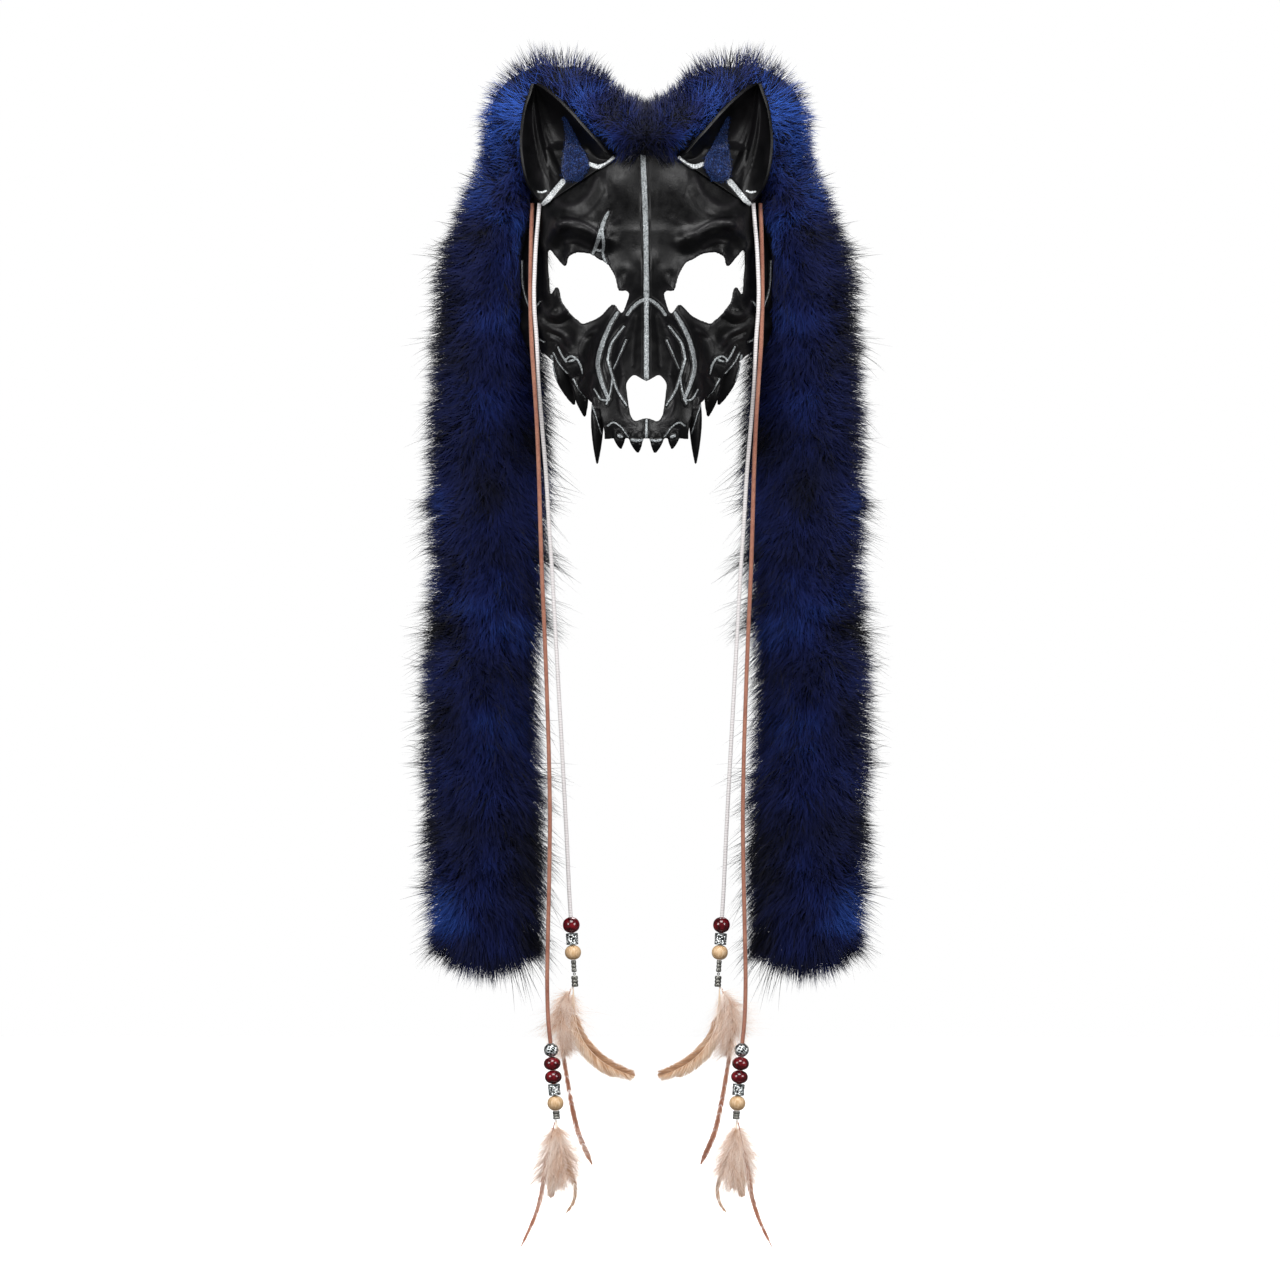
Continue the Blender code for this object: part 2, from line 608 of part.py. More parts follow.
def grow_locks(bm):
    """Draws staggered side faces out into short drooping locks."""
    faces = [f for f in bm.faces if len(f.verts) == 4]
    bm.faces.index_update()
    picked = [f for f in faces if f.index % LOCK_EVERY == 0]
    middle_x = sum(v.co.x for v in bm.verts) / len(bm.verts)
    for face in picked:
        normal = face.normal.copy()
        centre = face.calc_center_median()
        inward = normal.x * (-1 if middle_x > 0 else 1)
        if inward > 0.3 or normal.z < -0.5 or abs(centre.x) < LOCK_LONG * 2:
            continue
        out = (normal * LOCK_OUT + Vector((0, 0, -LOCK_DOWN))) * LOCK_LONG
        tip = [centre + (v.co - centre) * LOCK_TIP + out for v in face.verts]
        grow(bm, face, tip)


def ear_air_cutter(side, sign, material):
    """The air in front of the ear, from its wall forwards."""
    bm = bmesh.new()
    ear_sheet(bm, sign, EAR_EDGE_ROOM)
    sheet = bm.faces[:]
    for vert in bm.verts:
        vert.co.y += EAR_WALL / 2
    grown = bmesh.ops.extrude_face_region(bm, geom=sheet)["geom"]
    for vert in [v for v in grown if isinstance(v, bmesh.types.BMVert)]:
        vert.co.y = -EAR_FORWARD
    return hide_guide(place("ear_air_cutter_" + side, bm, material))


def ear_wall_cutter(side, sign, material):
    """The ear's wall with a gap before and behind it."""
    bm = bmesh.new()
    ear_sheet(bm, sign, EAR_EDGE_ROOM)
    for vert in bm.verts:
        vert.co.y -= SEAT_GAP
    guide = hide_guide(place("ear_wall_cutter_" + side, bm, material))
    wall = guide.modifiers.new("wall", "SOLIDIFY")
    wall.thickness = EAR_WALL + CUTTER_ROOM
    wall.offset = -1.0
    return guide


def shell_cutter(material):
    bm = bmesh.new()
    face_sheet(bm, CUTTER_ROOM, -SEAT_GAP)
    guide = hide_guide(place("shell_cutter", bm, material))
    wall = guide.modifiers.new("wall", "SOLIDIFY")
    wall.thickness = SHELL_WALL + CUTTER_ROOM
    wall.offset = -1.0
    wall.use_even_offset = True
    return guide


def make_fur(side, sign, seat):
    material = finish("blue_fur_" + side, (0.012, 0.028, 0.15), 0.9)
    rings = [fur_ring(at, sign) for at in np.linspace(0, 1, FUR_RINGS)]
    bm, _ = loft(rings)
    bmesh.ops.recalc_face_normals(bm, faces=bm.faces[:])
    grow_locks(bm)
    fur = place("fur_" + side, bm, material)
    cut_by(fur, seat)
    cut_by(fur, ear_air_cutter(side, sign, material))
    cut_by(fur, ear_wall_cutter(side, sign, material))
    keep_main_body(fur)


# Cords, beads, crimps and feathers

def mirrored(points, sign):
    return [(sign * x, y, z) for x, y, z in points]


def make_cord(name, route, thick, material):
    curve = bpy.data.curves.new(name, "CURVE")
    curve.dimensions = "3D"
    curve.bevel_depth = thick / 2
    curve.bevel_resolution = 2
    curve.use_fill_caps = True
    spline = curve.splines.new("POLY")
    points = along_route(route, CORD_POINTS)
    spline.points.add(len(points) - 1)
    for spot, point in zip(spline.points, points):
        spot.co = (*point, 1.0)
    curve.materials.append(material)
    cord = bpy.data.objects.new(name, curve)
    bpy.context.scene.collection.objects.link(cord)


def bead_profile(kind, wide, tall, bore):
    """Radius and height round a drilled bead: round beads swell, barrels have flat ends."""
    shoulder = {"round": (0.76, 0.36), "barrel": (0.90, 0.50)}[kind]
    radius, height = wide / 2 * shoulder[0], tall * shoulder[1]
    return [(bore, tall / 2), (radius, height), (wide / 2, 0.0), (radius, -height), (bore, -tall / 2)]


def solid_profile_rings(wide, tall, sides):
    rings = []
    for radius, height in ((0.78, 0.0), (1.0, -0.08), (1.0, -0.92), (0.78, -1.0)):
        centre = (0.0, 0.0, height * tall)
        rings.append(
            ring_points(centre, Vector((1, 0, 0)), Vector((0, 1, 0)), radius * wide / 2,
                        radius * wide / 2, sides)
        )
    return rings


def turn_to(direction):
    """The turn that takes straight down to the cord's own direction."""
    return Vector((0, 0, -1)).rotation_difference(Vector(direction)).to_matrix().to_4x4()


def set_in_place(bm, direction, point):
    bmesh.ops.transform(bm, matrix=Matrix.Translation(point) @ turn_to(direction), verts=bm.verts[:])


def thread(route, thick, beads, side, counts):
    """Threads beads up the cord from its lower end, each a seat gap above the last."""
    end = Vector(route[-1])
    up = (Vector(route[-3]) - end).normalized()
    reach = 0.0
    bore = thick / 2 + BORE_CLEAR
    for kind, profile, wide, tall, material in beads:
        bm = turned(bead_profile(profile, wide, tall, bore), BEAD_SIDES)
        set_in_place(bm, -up, end + up * (reach + tall / 2))
        counts[kind] = counts.get(kind, 0) + 1
        place(f"bead_{kind}_{side}_{counts[kind]}", bm, material)
        reach += tall + SEAT_GAP


def make_crimp(name, size, top, down, material):
    """A closed steel crimp; returns where the next piece below it starts."""
    wide, tall = size
    bm, _ = loft(solid_profile_rings(wide, tall, BEAD_SIDES))
    set_in_place(bm, down, top)
    place(name, bm, material)
    return top + down * (tall + SEAT_GAP)


def make_link(name, top, down, material):
    bm = bmesh.new()
    middle = LINK_WIDE / 2 - LINK_WIRE / 2
    bmesh.ops.create_circle(bm, segments=5, radius=LINK_WIRE / 2)
    bmesh.ops.rotate(bm, verts=bm.verts[:], matrix=Matrix.Rotation(math.pi / 2, 3, "X"))
    bmesh.ops.translate(bm, verts=bm.verts[:], vec=(middle, 0, 0))
    bmesh.ops.spin(
        bm, geom=bm.verts[:] + bm.edges[:], cent=(0, 0, 0), axis=(0, 0, 1), angle=2 * math.pi,
        steps=BEAD_SIDES, use_merge=True,
    )
    bmesh.ops.remove_doubles(bm, verts=bm.verts[:], dist=1e-6)
    bmesh.ops.rotate(bm, verts=bm.verts[:], matrix=Matrix.Rotation(math.pi / 2, 3, "X"))
    set_in_place(bm, down, top + down * LINK_WIDE / 2)
    place(name, bm, material)
    return top + down * (LINK_WIDE + SEAT_GAP)


def plume_ring(row, top, sign, sides):
    x, z, wide, thick = (share * PLUME_LONG for share in row)
    centre = (top.x + sign * x, top.y, top.z + z)
    return ring_points(centre, Vector((sign, 0, 0)), Vector((0, 1, 0)), wide, thick, sides)


def blade_ring(face, centre, run, wide, thick):
    """Corners of a flat feather's section, matched to the face that it grows from."""
    across = Vector((0, 1, 0)).cross(run).normalized()
    middle = face.calc_center_median()
    corners = []
    for vert in face.verts:
        off = vert.co - middle
        sideways = math.copysign(wide, off.dot(across))
        through = math.copysign(thick, off.y)
        corners.append(centre + across * sideways + Vector((0, through, 0)))
    return corners


def grow_blade(bm, face, rows, top, sign):
    last = face.calc_center_median()
    for x, z, wide, thick in rows:
        centre = Vector((top.x + sign * x * PLUME_LONG, top.y, top.z + z * PLUME_LONG))
        run = (centre - last).normalized()
        face = grow(bm, face, blade_ring(face, centre, run, wide * PLUME_LONG, thick * PLUME_LONG))
        last = centre


def make_plume(name, top, sign, fluff, quill, blade, inward, material):
    bm, _ = loft([plume_ring(row, top, sign, PLUME_SIDES) for row in fluff + quill])
    bmesh.ops.recalc_face_normals(bm, faces=bm.faces[:])
    want = Vector((-sign if inward else sign, 0, BLADE_DROOP)).normalized()
    level = top.z + (fluff[-3][1] + fluff[-2][1]) / 2 * PLUME_LONG
    reach = BLADE_SEAT * PLUME_LONG
    near = [f for f in bm.faces if abs(f.calc_center_median().z - level) < reach]
    grow_blade(bm, max(near, key=lambda f: f.normal.dot(want)), blade, top, sign)
    place(name, bm, material)


def make_cords_and_trim():
    white = finish("white_cord", (0.80, 0.76, 0.76), 0.8)
    brown = finish("brown_suede_cord", (0.33, 0.15, 0.10), 0.9)
    red = finish("red_glazed_bead", (0.19, 0.006, 0.010), 0.12)
    silver = finish("antique_silver_bead", (0.34, 0.36, 0.37), 0.42, 1.0)
    wood = finish("pale_wood_bead", (0.67, 0.42, 0.20), 0.5)
    steel = finish("steel_crimp", (0.42, 0.42, 0.40), 0.35, 1.0)
    feather = finish("tan_feather", (0.62, 0.38, 0.22), 0.9)
    barrel = ("barrel", "barrel", BARREL_BEAD, BARREL_HIGH, silver)
    timber = ("wood", "round", WOOD_BEAD, WOOD_HIGH, wood)
    ruby = ("red", "round", ROUND_BEAD, ROUND_HIGH, red)
    top_ruby = ("red", "round", ROUND_BEAD, TOP_BEAD_HIGH, red)
    carved = ("silver", "round", SILVER_BEAD, SILVER_HIGH, silver)
    for side, sign in SIDES:
        counts = {}
        route = mirrored(WHITE_ROUTE, sign)
        make_cord("cord_white_" + side, route, WHITE_THICK, white)
        thread(route, WHITE_THICK, [timber, barrel, top_ruby], side, counts)
        down = (Vector(route[-1]) - Vector(route[-3])).normalized()
        spot = Vector(route[-1]) + down * SEAT_GAP
        spot = make_crimp(f"crimp_{side}_1", WHITE_CRIMP, spot, down, steel)
        spot = make_link("ring_" + side, spot, down, steel)
        spot = make_crimp(f"crimp_{side}_2", FEATHER_CRIMP, spot, down, steel)
        make_plume("plume_white_" + side, spot, sign, WHITE_FLUFF, WHITE_QUILL, WHITE_BLADE, True, feather)
        route = mirrored(BROWN_ROUTE, sign)
        make_cord("cord_brown_" + side, route, BROWN_THICK, brown)
        thread(route, BROWN_THICK, [timber, barrel, ruby, ruby, carved], side, counts)
        down = (Vector(route[-1]) - Vector(route[-3])).normalized()
        spot = Vector(route[-1]) + down * SEAT_GAP
        spot = make_crimp(f"crimp_{side}_3", BROWN_CRIMP, spot, down, steel)
        make_plume("plume_brown_" + side, spot, sign, BROWN_FLUFF, BROWN_QUILL, BROWN_BLADE, False, feather)


# Head strap

def make_head_strap():
    material = finish("black_elastic", (0.01, 0.01, 0.01), 0.85)
    ends = [
        face_front(STRAP_HALF + STRAP_THICK / 2, STRAP_HEIGHT + up * STRAP_TALL / 2)
        for up in (-1.0, 0.0, 1.0)
    ]
    front = max(ends) + SHELL_SLANT * SHELL_WALL + 2 * SEAT_GAP
    straight = STRAP_BACK - STRAP_HALF
    path = [(STRAP_HALF, front), (STRAP_HALF, front + (straight - front) / 2)]
    for k in range(13):
        turn = math.pi * k / 12
        path.append((STRAP_HALF * math.cos(turn), straight + STRAP_HALF * math.sin(turn)))
    path += [(-x, y) for x, y in path[1::-1]]
    rings = []
    for k, (x, y) in enumerate(path):
        before = Vector(path[max(k - 1, 0)])
        after = Vector(path[min(k + 1, len(path) - 1)])
        run = (after - before).normalized()
        outward = Vector((run.y, -run.x, 0.0)) * STRAP_THICK / 2
        tall = Vector((0, 0, STRAP_TALL / 2))
        centre = Vector((x, y, STRAP_HEIGHT))
        rings.append([centre - outward - tall, centre + outward - tall,
                      centre + outward + tall, centre - outward + tall])
    bm, _ = loft(rings)
    place("head_strap", bm, material)


def make_mask():
    for old in list(bpy.data.objects):
        bpy.data.objects.remove(old, do_unlink=True)
    make_mask_shell()
    guide_material = finish("guide", (0.5, 0.5, 0.5), 0.5)
    seat = shell_cutter(guide_material)
    for side, sign in SIDES:
        make_ear(side, sign)
        make_lining(side, sign)
        make_fur(side, sign, seat)
    make_cords_and_trim()
    make_head_strap()


make_mask()
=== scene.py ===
# %% [markdown]
# # A wolf skull mask with fur tails and feather cords
#
# The solids of the part come in first, as a frame in real size. Each soft or detailed piece is
# then built over its solid, in the same place: the moulded shell, the ears, the deep fur, the
# cords with their beads, and the feathers. X runs across the face, Y runs back into the head and
# Z is up, in metres, with the origin at the middle of the inner brow.

import itertools
import math

import bmesh
import bpy
import numpy as np
from mathutils import Matrix, Vector
from mathutils.bvhtree import BVHTree


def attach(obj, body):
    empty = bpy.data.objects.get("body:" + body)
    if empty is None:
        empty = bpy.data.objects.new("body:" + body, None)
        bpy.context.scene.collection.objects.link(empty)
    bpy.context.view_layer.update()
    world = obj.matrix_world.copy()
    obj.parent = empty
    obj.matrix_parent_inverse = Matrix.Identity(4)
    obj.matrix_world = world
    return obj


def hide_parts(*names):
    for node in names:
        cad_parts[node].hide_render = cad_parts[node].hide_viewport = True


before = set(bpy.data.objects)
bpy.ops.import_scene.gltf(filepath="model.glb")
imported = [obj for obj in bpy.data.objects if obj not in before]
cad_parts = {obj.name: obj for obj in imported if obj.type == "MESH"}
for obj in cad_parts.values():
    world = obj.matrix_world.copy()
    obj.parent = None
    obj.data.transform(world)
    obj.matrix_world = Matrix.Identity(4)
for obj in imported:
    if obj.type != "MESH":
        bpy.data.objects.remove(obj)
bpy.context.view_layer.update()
MM = 0.001
SIDES = (("left", -1.0), ("right", 1.0))
print("solids in the frame:", len(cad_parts))

# %% [markdown]
# The photograph looks straight at the brow from far off, so that the mask shows square on. A long
# lens at ten metres gives the same near-parallel view. The picture is 0.96 m wide at the mask.

# %% Camera
VIEW_WIDTH = 0.96
VIEW_FAR = 10.0
VIEW_CENTRE = (-0.0048, 0.0, -0.3075)


def placed(name, data):
    """A new object in the scene with the given mesh, curve, lamp or lens."""
    piece = bpy.data.objects.new(name, data)
    bpy.context.scene.collection.objects.link(piece)
    return piece


lens = bpy.data.cameras.new("portrait_camera")
lens.sensor_width = 36.0
lens.lens = lens.sensor_width * VIEW_FAR / VIEW_WIDTH
lens.clip_end = 50.0
camera = placed("portrait_camera", lens)
camera.location = (VIEW_CENTRE[0], VIEW_CENTRE[1] - VIEW_FAR, VIEW_CENTRE[2])
camera.rotation_euler = (math.pi / 2, 0.0, 0.0)
bpy.context.scene.camera = camera
print("lens", round(lens.lens, 1), "mm")

# %% [markdown]
# Colours are written as they look on a screen and turned into linear light in one place. A small
# function adds a shader node, so that each material reads as a short list of steps.

# %% Helpers for materials


def screen(code, alpha=1.0):
    """A screen colour such as 1a2b3c as linear light."""
    parts = [int(code[i:i + 2], 16) / 255 for i in (0, 2, 4)]
    return (*(p / 12.92 if p <= 0.04045 else ((p + 0.055) / 1.055) ** 2.4 for p in parts), alpha)


class Finish:
    """A material under way: its shader and the nodes that feed it."""

    def __init__(self, name, roughness=0.5, metallic=0.0):
        self.material = bpy.data.materials.new(name)
        self.material.use_nodes = True
        self.tree = self.material.node_tree
        self.shader = self.tree.nodes["Principled BSDF"]
        self.set("Roughness", roughness)
        self.set("Metallic", metallic)

    def feed(self, sockets, *values):
        """Gives each socket a link, a screen colour or a plain value."""
        for socket, value in zip(sockets, values):
            if hasattr(value, "is_output"):
                self.tree.links.new(value, socket)
            else:
                socket.default_value = screen(value) if isinstance(value, str) else value

    def set(self, socket, value):
        self.feed([self.shader.inputs[socket]], value)

    def node(self, kind, **values):
        """Adds a node; names that aren't its sockets are its settings."""
        made = self.tree.nodes.new("ShaderNode" + kind)
        for name, value in values.items():
            socket = next((s for s in made.inputs if s.name.replace(" ", "_") == name), None)
            if socket is None:
                setattr(made, name, value)
            else:
                self.feed([socket], value)
        return made

    def place(self, **turn):
        """The piece's own coordinates, in metres."""
        coords = self.node("TexCoord").outputs["Object"]
        return self.node("Mapping", Vector=coords, **turn).outputs["Vector"] if turn else coords

    def noise(self, size, detail=3.0, rough=0.55, vector=None):
        """Soft noise from 0 to 1 whose lumps have a real size in metres."""
        vector = vector or self.place()
        return self.node(
            "TexNoise", Vector=vector, Scale=1 / size, Detail=detail, Roughness=rough
        ).outputs["Fac"]

    def ramp(self, value, *stops):
        """Colours along a value: pairs of position and colour."""
        made = self.node("ValToRGB", Fac=value)
        points = made.color_ramp.elements
        while len(points) < len(stops):
            points.new(0.5)
        for point, (at, colour) in zip(points, stops):
            point.position = at
            point.color = screen(colour) if isinstance(colour, str) else (*(colour,) * 3, 1.0)
        return made.outputs["Color"]

    def mix(self, share, a, b):
        """Between two colours or colour sockets by a share."""
        made = self.node("Mix", data_type="RGBA")
        self.feed([made.inputs[0], made.inputs[6], made.inputs[7]], share, a, b)
        return made.outputs[2]

    def maths(self, operation, *values):
        made = self.node("Math", operation=operation)
        self.feed(made.inputs, *values)
        return made.outputs[0]

    def attribute(self, name):
        return self.node("Attribute", attribute_name=name).outputs["Fac"]

    def bump(self, height, depth, strength=1.0):
        """Relief of a real depth in metres."""
        made = self.node("Bump", Height=height, Distance=depth, Strength=strength)
        self.set("Normal", made.outputs["Normal"])


def grained(name, rough, stops, noise, stretch=None, relief=0.0, strength=0.5, metallic=0.0, **own):
    """A material whose colour and relief follow one grain; own holds other shader values."""
    made = Finish(name, rough, metallic)
    grain = made.noise(*noise, made.place(Scale=stretch) if stretch else None)
    made.set("Base Color", made.ramp(grain, *stops))
    if relief:
        made.bump(grain, relief, strength)
    for socket, value in own.items():
        made.set(socket.replace("_", " "), value)
    return made.material


# %% [markdown]
# Every piece becomes a plain mesh object at the origin that rides with the part. Pieces with very
# many small faces are filled from arrays, which is far quicker than adding faces one by one.

# %% Helpers for meshes


def show(name, mesh, material, nodes=()):
    """A finished piece in place: it rides with the part and stands for its solids."""
    mesh.materials.clear()
    mesh.materials.append(material)
    piece = placed(name, mesh)
    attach(piece, "root")
    if nodes:
        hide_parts(*nodes)
    mesh.calc_loop_triangles()
    print(name, len(mesh.loop_triangles), "triangles")
    return piece


def plain_mesh(bm, name):
    """A mesh with what a bmesh holds; the bmesh goes."""
    mesh = bpy.data.meshes.new(name)
    bm.to_mesh(mesh)
    bm.free()
    return mesh


def mesh_from(bm, name, sharp=None):
    """A mesh from a bmesh, shaded smooth, with its faces turned outwards."""
    bmesh.ops.recalc_face_normals(bm, faces=bm.faces[:])
    mesh = plain_mesh(bm, name)
    mesh.shade_smooth()
    if sharp:
        mesh.set_sharp_from_angle(angle=math.radians(sharp))
    return mesh


def mesh_from_arrays(name, points, loops, counts):
    """A mesh from points, the corner list of its faces and the corner count of each."""
    mesh = bpy.data.meshes.new(name)
    mesh.vertices.add(len(points))
    mesh.vertices.foreach_set("co", np.ascontiguousarray(points, np.float32).ravel())
    mesh.loops.add(len(loops))
    mesh.loops.foreach_set("vertex_index", np.ascontiguousarray(loops, np.int32))
    mesh.polygons.add(len(counts))
    starts = np.concatenate([[0], np.cumsum(counts)[:-1]])
    mesh.polygons.foreach_set("loop_start", np.ascontiguousarray(starts, np.int32))
    mesh.update(calc_edges=True)
    mesh.validate()
    mesh.shade_smooth()
    return mesh


def evaluated_mesh(piece):
    """The mesh of an object with its modifiers, as a new mesh; the object goes."""
    shown = piece.evaluated_get(bpy.context.evaluated_depsgraph_get())
    mesh = bpy.data.meshes.new_from_object(shown)
    bpy.data.objects.remove(piece, do_unlink=True)
    return mesh


def positions(mesh):
    out = np.empty(len(mesh.vertices) * 3, np.float32)
    mesh.vertices.foreach_get("co", out)
    return out.reshape(-1, 3).astype(float)


def normals_of(mesh):
    out = np.empty(len(mesh.vertices) * 3, np.float32)
    mesh.vertex_normals.foreach_get("vector", out)
    return out.reshape(-1, 3).astype(float)


def move_to(mesh, points):
    mesh.vertices.foreach_set("co", np.ascontiguousarray(points, np.float32).ravel())
    mesh.update()


def keep_values(mesh, name, values):
    """Stores one number for each point, for the material to read."""
    made = mesh.attributes.new(name, "FLOAT", "POINT")
    made.data.foreach_set("value", np.ascontiguousarray(values, np.float32))


def lumps(points, size, seed):
    """Smooth random values from 0 to 1 in space, with lumps of a given size."""
    table = np.random.default_rng(seed).random(4096)
    spot = np.asarray(points, float) / size
    cell = np.floor(spot).astype(np.int64)
    part = spot - cell
    part = part * part * (3 - 2 * part)
    total = np.zeros(len(spot))
    for corner in itertools.product((0, 1), repeat=3):
        at = cell + np.array(corner)
        key = (at[:, 0] * 73856093) ^ (at[:, 1] * 19349663) ^ (at[:, 2] * 83492791)
        share = np.prod(np.where(np.array(corner) == 1, part, 1 - part), axis=1)
        total += table[key % 4096] * share
    return total


def hermite(a, b, step, slope_a, slope_b, t):
    """From a to b as t goes from 0 to 1, with the given slopes at both ends."""
    rise = a * (2 * t**3 - 3 * t**2 + 1) + b * (3 * t**2 - 2 * t**3)
    return rise + step * (slope_a * (t**3 - 2 * t**2 + t) + slope_b * (t**3 - t**2))


def smooth_rows(stations, values, at):
    """A smooth curve through rows of values, read at many stations at once."""
    stations = np.asarray(stations, float)
    values = np.asarray(values, float)
    at = np.clip(np.asarray(at, float), stations[0], stations[-1])
    i = np.clip(np.searchsorted(stations, at, side="right") - 1, 0, len(stations) - 2)
    slopes = np.gradient(values, stations, axis=0)
    step = (stations[i + 1] - stations[i])[:, None]
    t = ((at - stations[i]) / step[:, 0])[:, None]
    return hermite(values[i], values[i + 1], step, slopes[i], slopes[i + 1], t)


def on_route(route, count):
    """Evenly spaced points on a smooth curve through a route's points."""
    points = np.array(route, float)
    runs = np.concatenate([[0], np.cumsum(np.linalg.norm(np.diff(points, axis=0), axis=1))])
    return smooth_rows(runs, points, np.linspace(0, runs[-1], count))


def bell(distance, spread):
    """A smooth hump that is 1 at no distance and fades within the spread."""
    return np.exp(-((distance / spread) ** 2))


def unit(vectors):
    return vectors / np.maximum(np.linalg.norm(vectors, axis=-1, keepdims=True), 1e-9)


# %% [markdown]
# ## The moulded skull
#
# The skull is one thin moulded wall. Its depth is a smooth curve through sections of the face,
# and ridges and hollows are added to it as soft strokes. The sizes and tables are those that the
# solid was made from, so the fine shell lies exactly over it. It could be sculpted freely, but
# then the eye and nose openings would wander from the solid's.

# %% Sizes and sections of the face
HALF_WIDTH = 0.095
CROWN_RISE = 0.057
JAW_DROP = 0.1605
FACE_DEPTH = 0.100
SHELL_WALL = 0.0025

# Height, half width, then depth at 0, 0.2, 0.4, 0.6, 0.8 and 1 of HALF_WIDTH
FACE_SECTIONS = [
    (1.00, 0.68, 0.04, 0.05, 0.10, 0.19, 0.32, 0.48),
    (0.50, 0.88, -0.02, 0.00, 0.05, 0.12, 0.26, 0.44),
    (0.00, 0.95, -0.06, -0.035, 0.02, 0.085, 0.22, 0.43),
    (-0.12, 1.00, -0.10, -0.05, 0.04, 0.11, 0.25, 0.44),
    (-0.28, 1.00, -0.18, -0.09, 0.07, 0.14, 0.27, 0.45),
    (-0.40, 1.00, -0.27, -0.17, 0.01, 0.11, 0.25, 0.45),
    (-0.53, 0.99, -0.36, -0.28, -0.09, 0.07, 0.23, 0.45),
    (-0.69, 0.95, -0.45, -0.39, -0.20, 0.01, 0.20, 0.45),
    (-0.84, 0.95, -0.50, -0.46, -0.29, -0.05, 0.18, 0.45),
    (-0.98, 0.95, -0.52, -0.49, -0.33, -0.08, 0.17, 0.45),
]
SECTION_STATIONS = np.array([0.0, 0.2, 0.4, 0.6, 0.8, 1.0])
STATION_STEP = 0.2

# From x, from z, to x, to z, spread, rise; a hollow's rise is negative
FACE_RELIEF = [
    (0.32, -0.04, 0.68, 0.08, 0.075, 0.075),
    (0.68, 0.08, 0.80, -0.06, 0.070, 0.050),
    (0.60, -0.09, 0.65, -0.16, 0.050, 0.030),
    (0.00, 0.90, 0.00, -0.08, 0.080, -0.020),
    (0.30, 0.60, 0.42, 0.30, 0.170, 0.045),
    (0.84, 0.10, 0.88, -0.18, 0.080, -0.030),
    (0.00, -0.20, 0.00, -0.68, 0.085, 0.035),
    (0.17, -0.22, 0.20, -0.40, 0.060, -0.030),
    (0.64, -0.36, 0.98, -0.44, 0.085, 0.065),
    (0.71, -0.28, 0.74, -0.36, 0.050, 0.030),
    (0.62, -0.50, 0.82, -0.54, 0.065, -0.035),
    (0.47, -0.52, 0.53, -0.63, 0.070, -0.050),
    (0.36, -0.60, 0.39, -0.88, 0.065, 0.050),
    (0.22, -0.50, 0.29, -0.66, 0.040, -0.020),
    (0.00, -0.95, 0.24, -0.94, 0.060, 0.025),
]
EYE_OUTLINE = [
    (0.777, -0.085), (0.646, -0.168), (0.615, -0.122), (0.544, -0.101), (0.438, -0.109),
    (0.368, -0.135), (0.304, -0.155), (0.248, -0.214), (0.216, -0.280), (0.163, -0.282),
    (0.135, -0.302), (0.157, -0.351), (0.178, -0.384), (0.199, -0.391), (0.255, -0.353),
    (0.291, -0.364), (0.361, -0.406), (0.495, -0.439), (0.544, -0.422), (0.615, -0.381),
    (0.672, -0.330), (0.692, -0.276), (0.714, -0.266), (0.763, -0.293),
]
NOSE_OUTLINE = [
    (0.000, -0.711), (0.098, -0.683), (0.155, -0.720), (0.151, -0.770), (0.140, -0.820),
    (0.125, -0.870), (0.087, -0.898), (0.000, -0.883),
]
CHEEK_UNDERSIDE = [
    (0.330, -1.250), (0.330, -0.950), (0.370, -0.840), (0.447, -0.802), (0.475, -0.780),
    (0.530, -0.740), (0.606, -0.688), (0.680, -0.640), (0.767, -0.597), (0.860, -0.550),
    (1.100, -0.520), (1.100, -1.250),
]
# Root x, root z, tip x, tip z, width, thickness, lean of the tip to the back
TEETH = [
    (0.385, -0.780, 0.388, -1.098, 0.105, 0.100, 0.05),
    (0.222, -0.930, 0.201, -1.029, 0.100, 0.070, 0.01),
    (0.090, -0.945, 0.066, -1.047, 0.110, 0.070, 0.01),
    (0.540, -0.680, 0.486, -0.873, 0.128, 0.075, 0.03),
    (0.690, -0.605, 0.571, -0.817, 0.155, 0.060, 0.03),
]
TOOTH_FORM = [(0.00, 0.80), (0.35, 1.00), (0.75, 0.62), (1.00, 0.16)]


def high(share):
    """A height in metres from a share of the crown's rise or of the jaw's drop."""
    share = np.asarray(share, float)
    return share * np.where(share > 0, CROWN_RISE, JAW_DROP)


def face_row(z):
    """Half width and depths of the face at many heights."""
    z = np.asarray(z, float)
    rows = np.array(FACE_SECTIONS[::-1])
    return smooth_rows(rows[:, 0], rows[:, 1:], z / np.where(z > 0, CROWN_RISE, JAW_DROP))


def to_segment(x, z, start, end):
    """Distance from points to a segment, and how far along it the nearest spot is."""
    run = np.subtract(end, start).astype(float)
    t = ((x - start[0]) * run[0] + (z - start[1]) * run[1]) / max(run @ run, 1e-12)
    t = np.clip(t, 0, 1)
    return np.hypot(x - start[0] - t * run[0], z - start[1] - t * run[1]), t


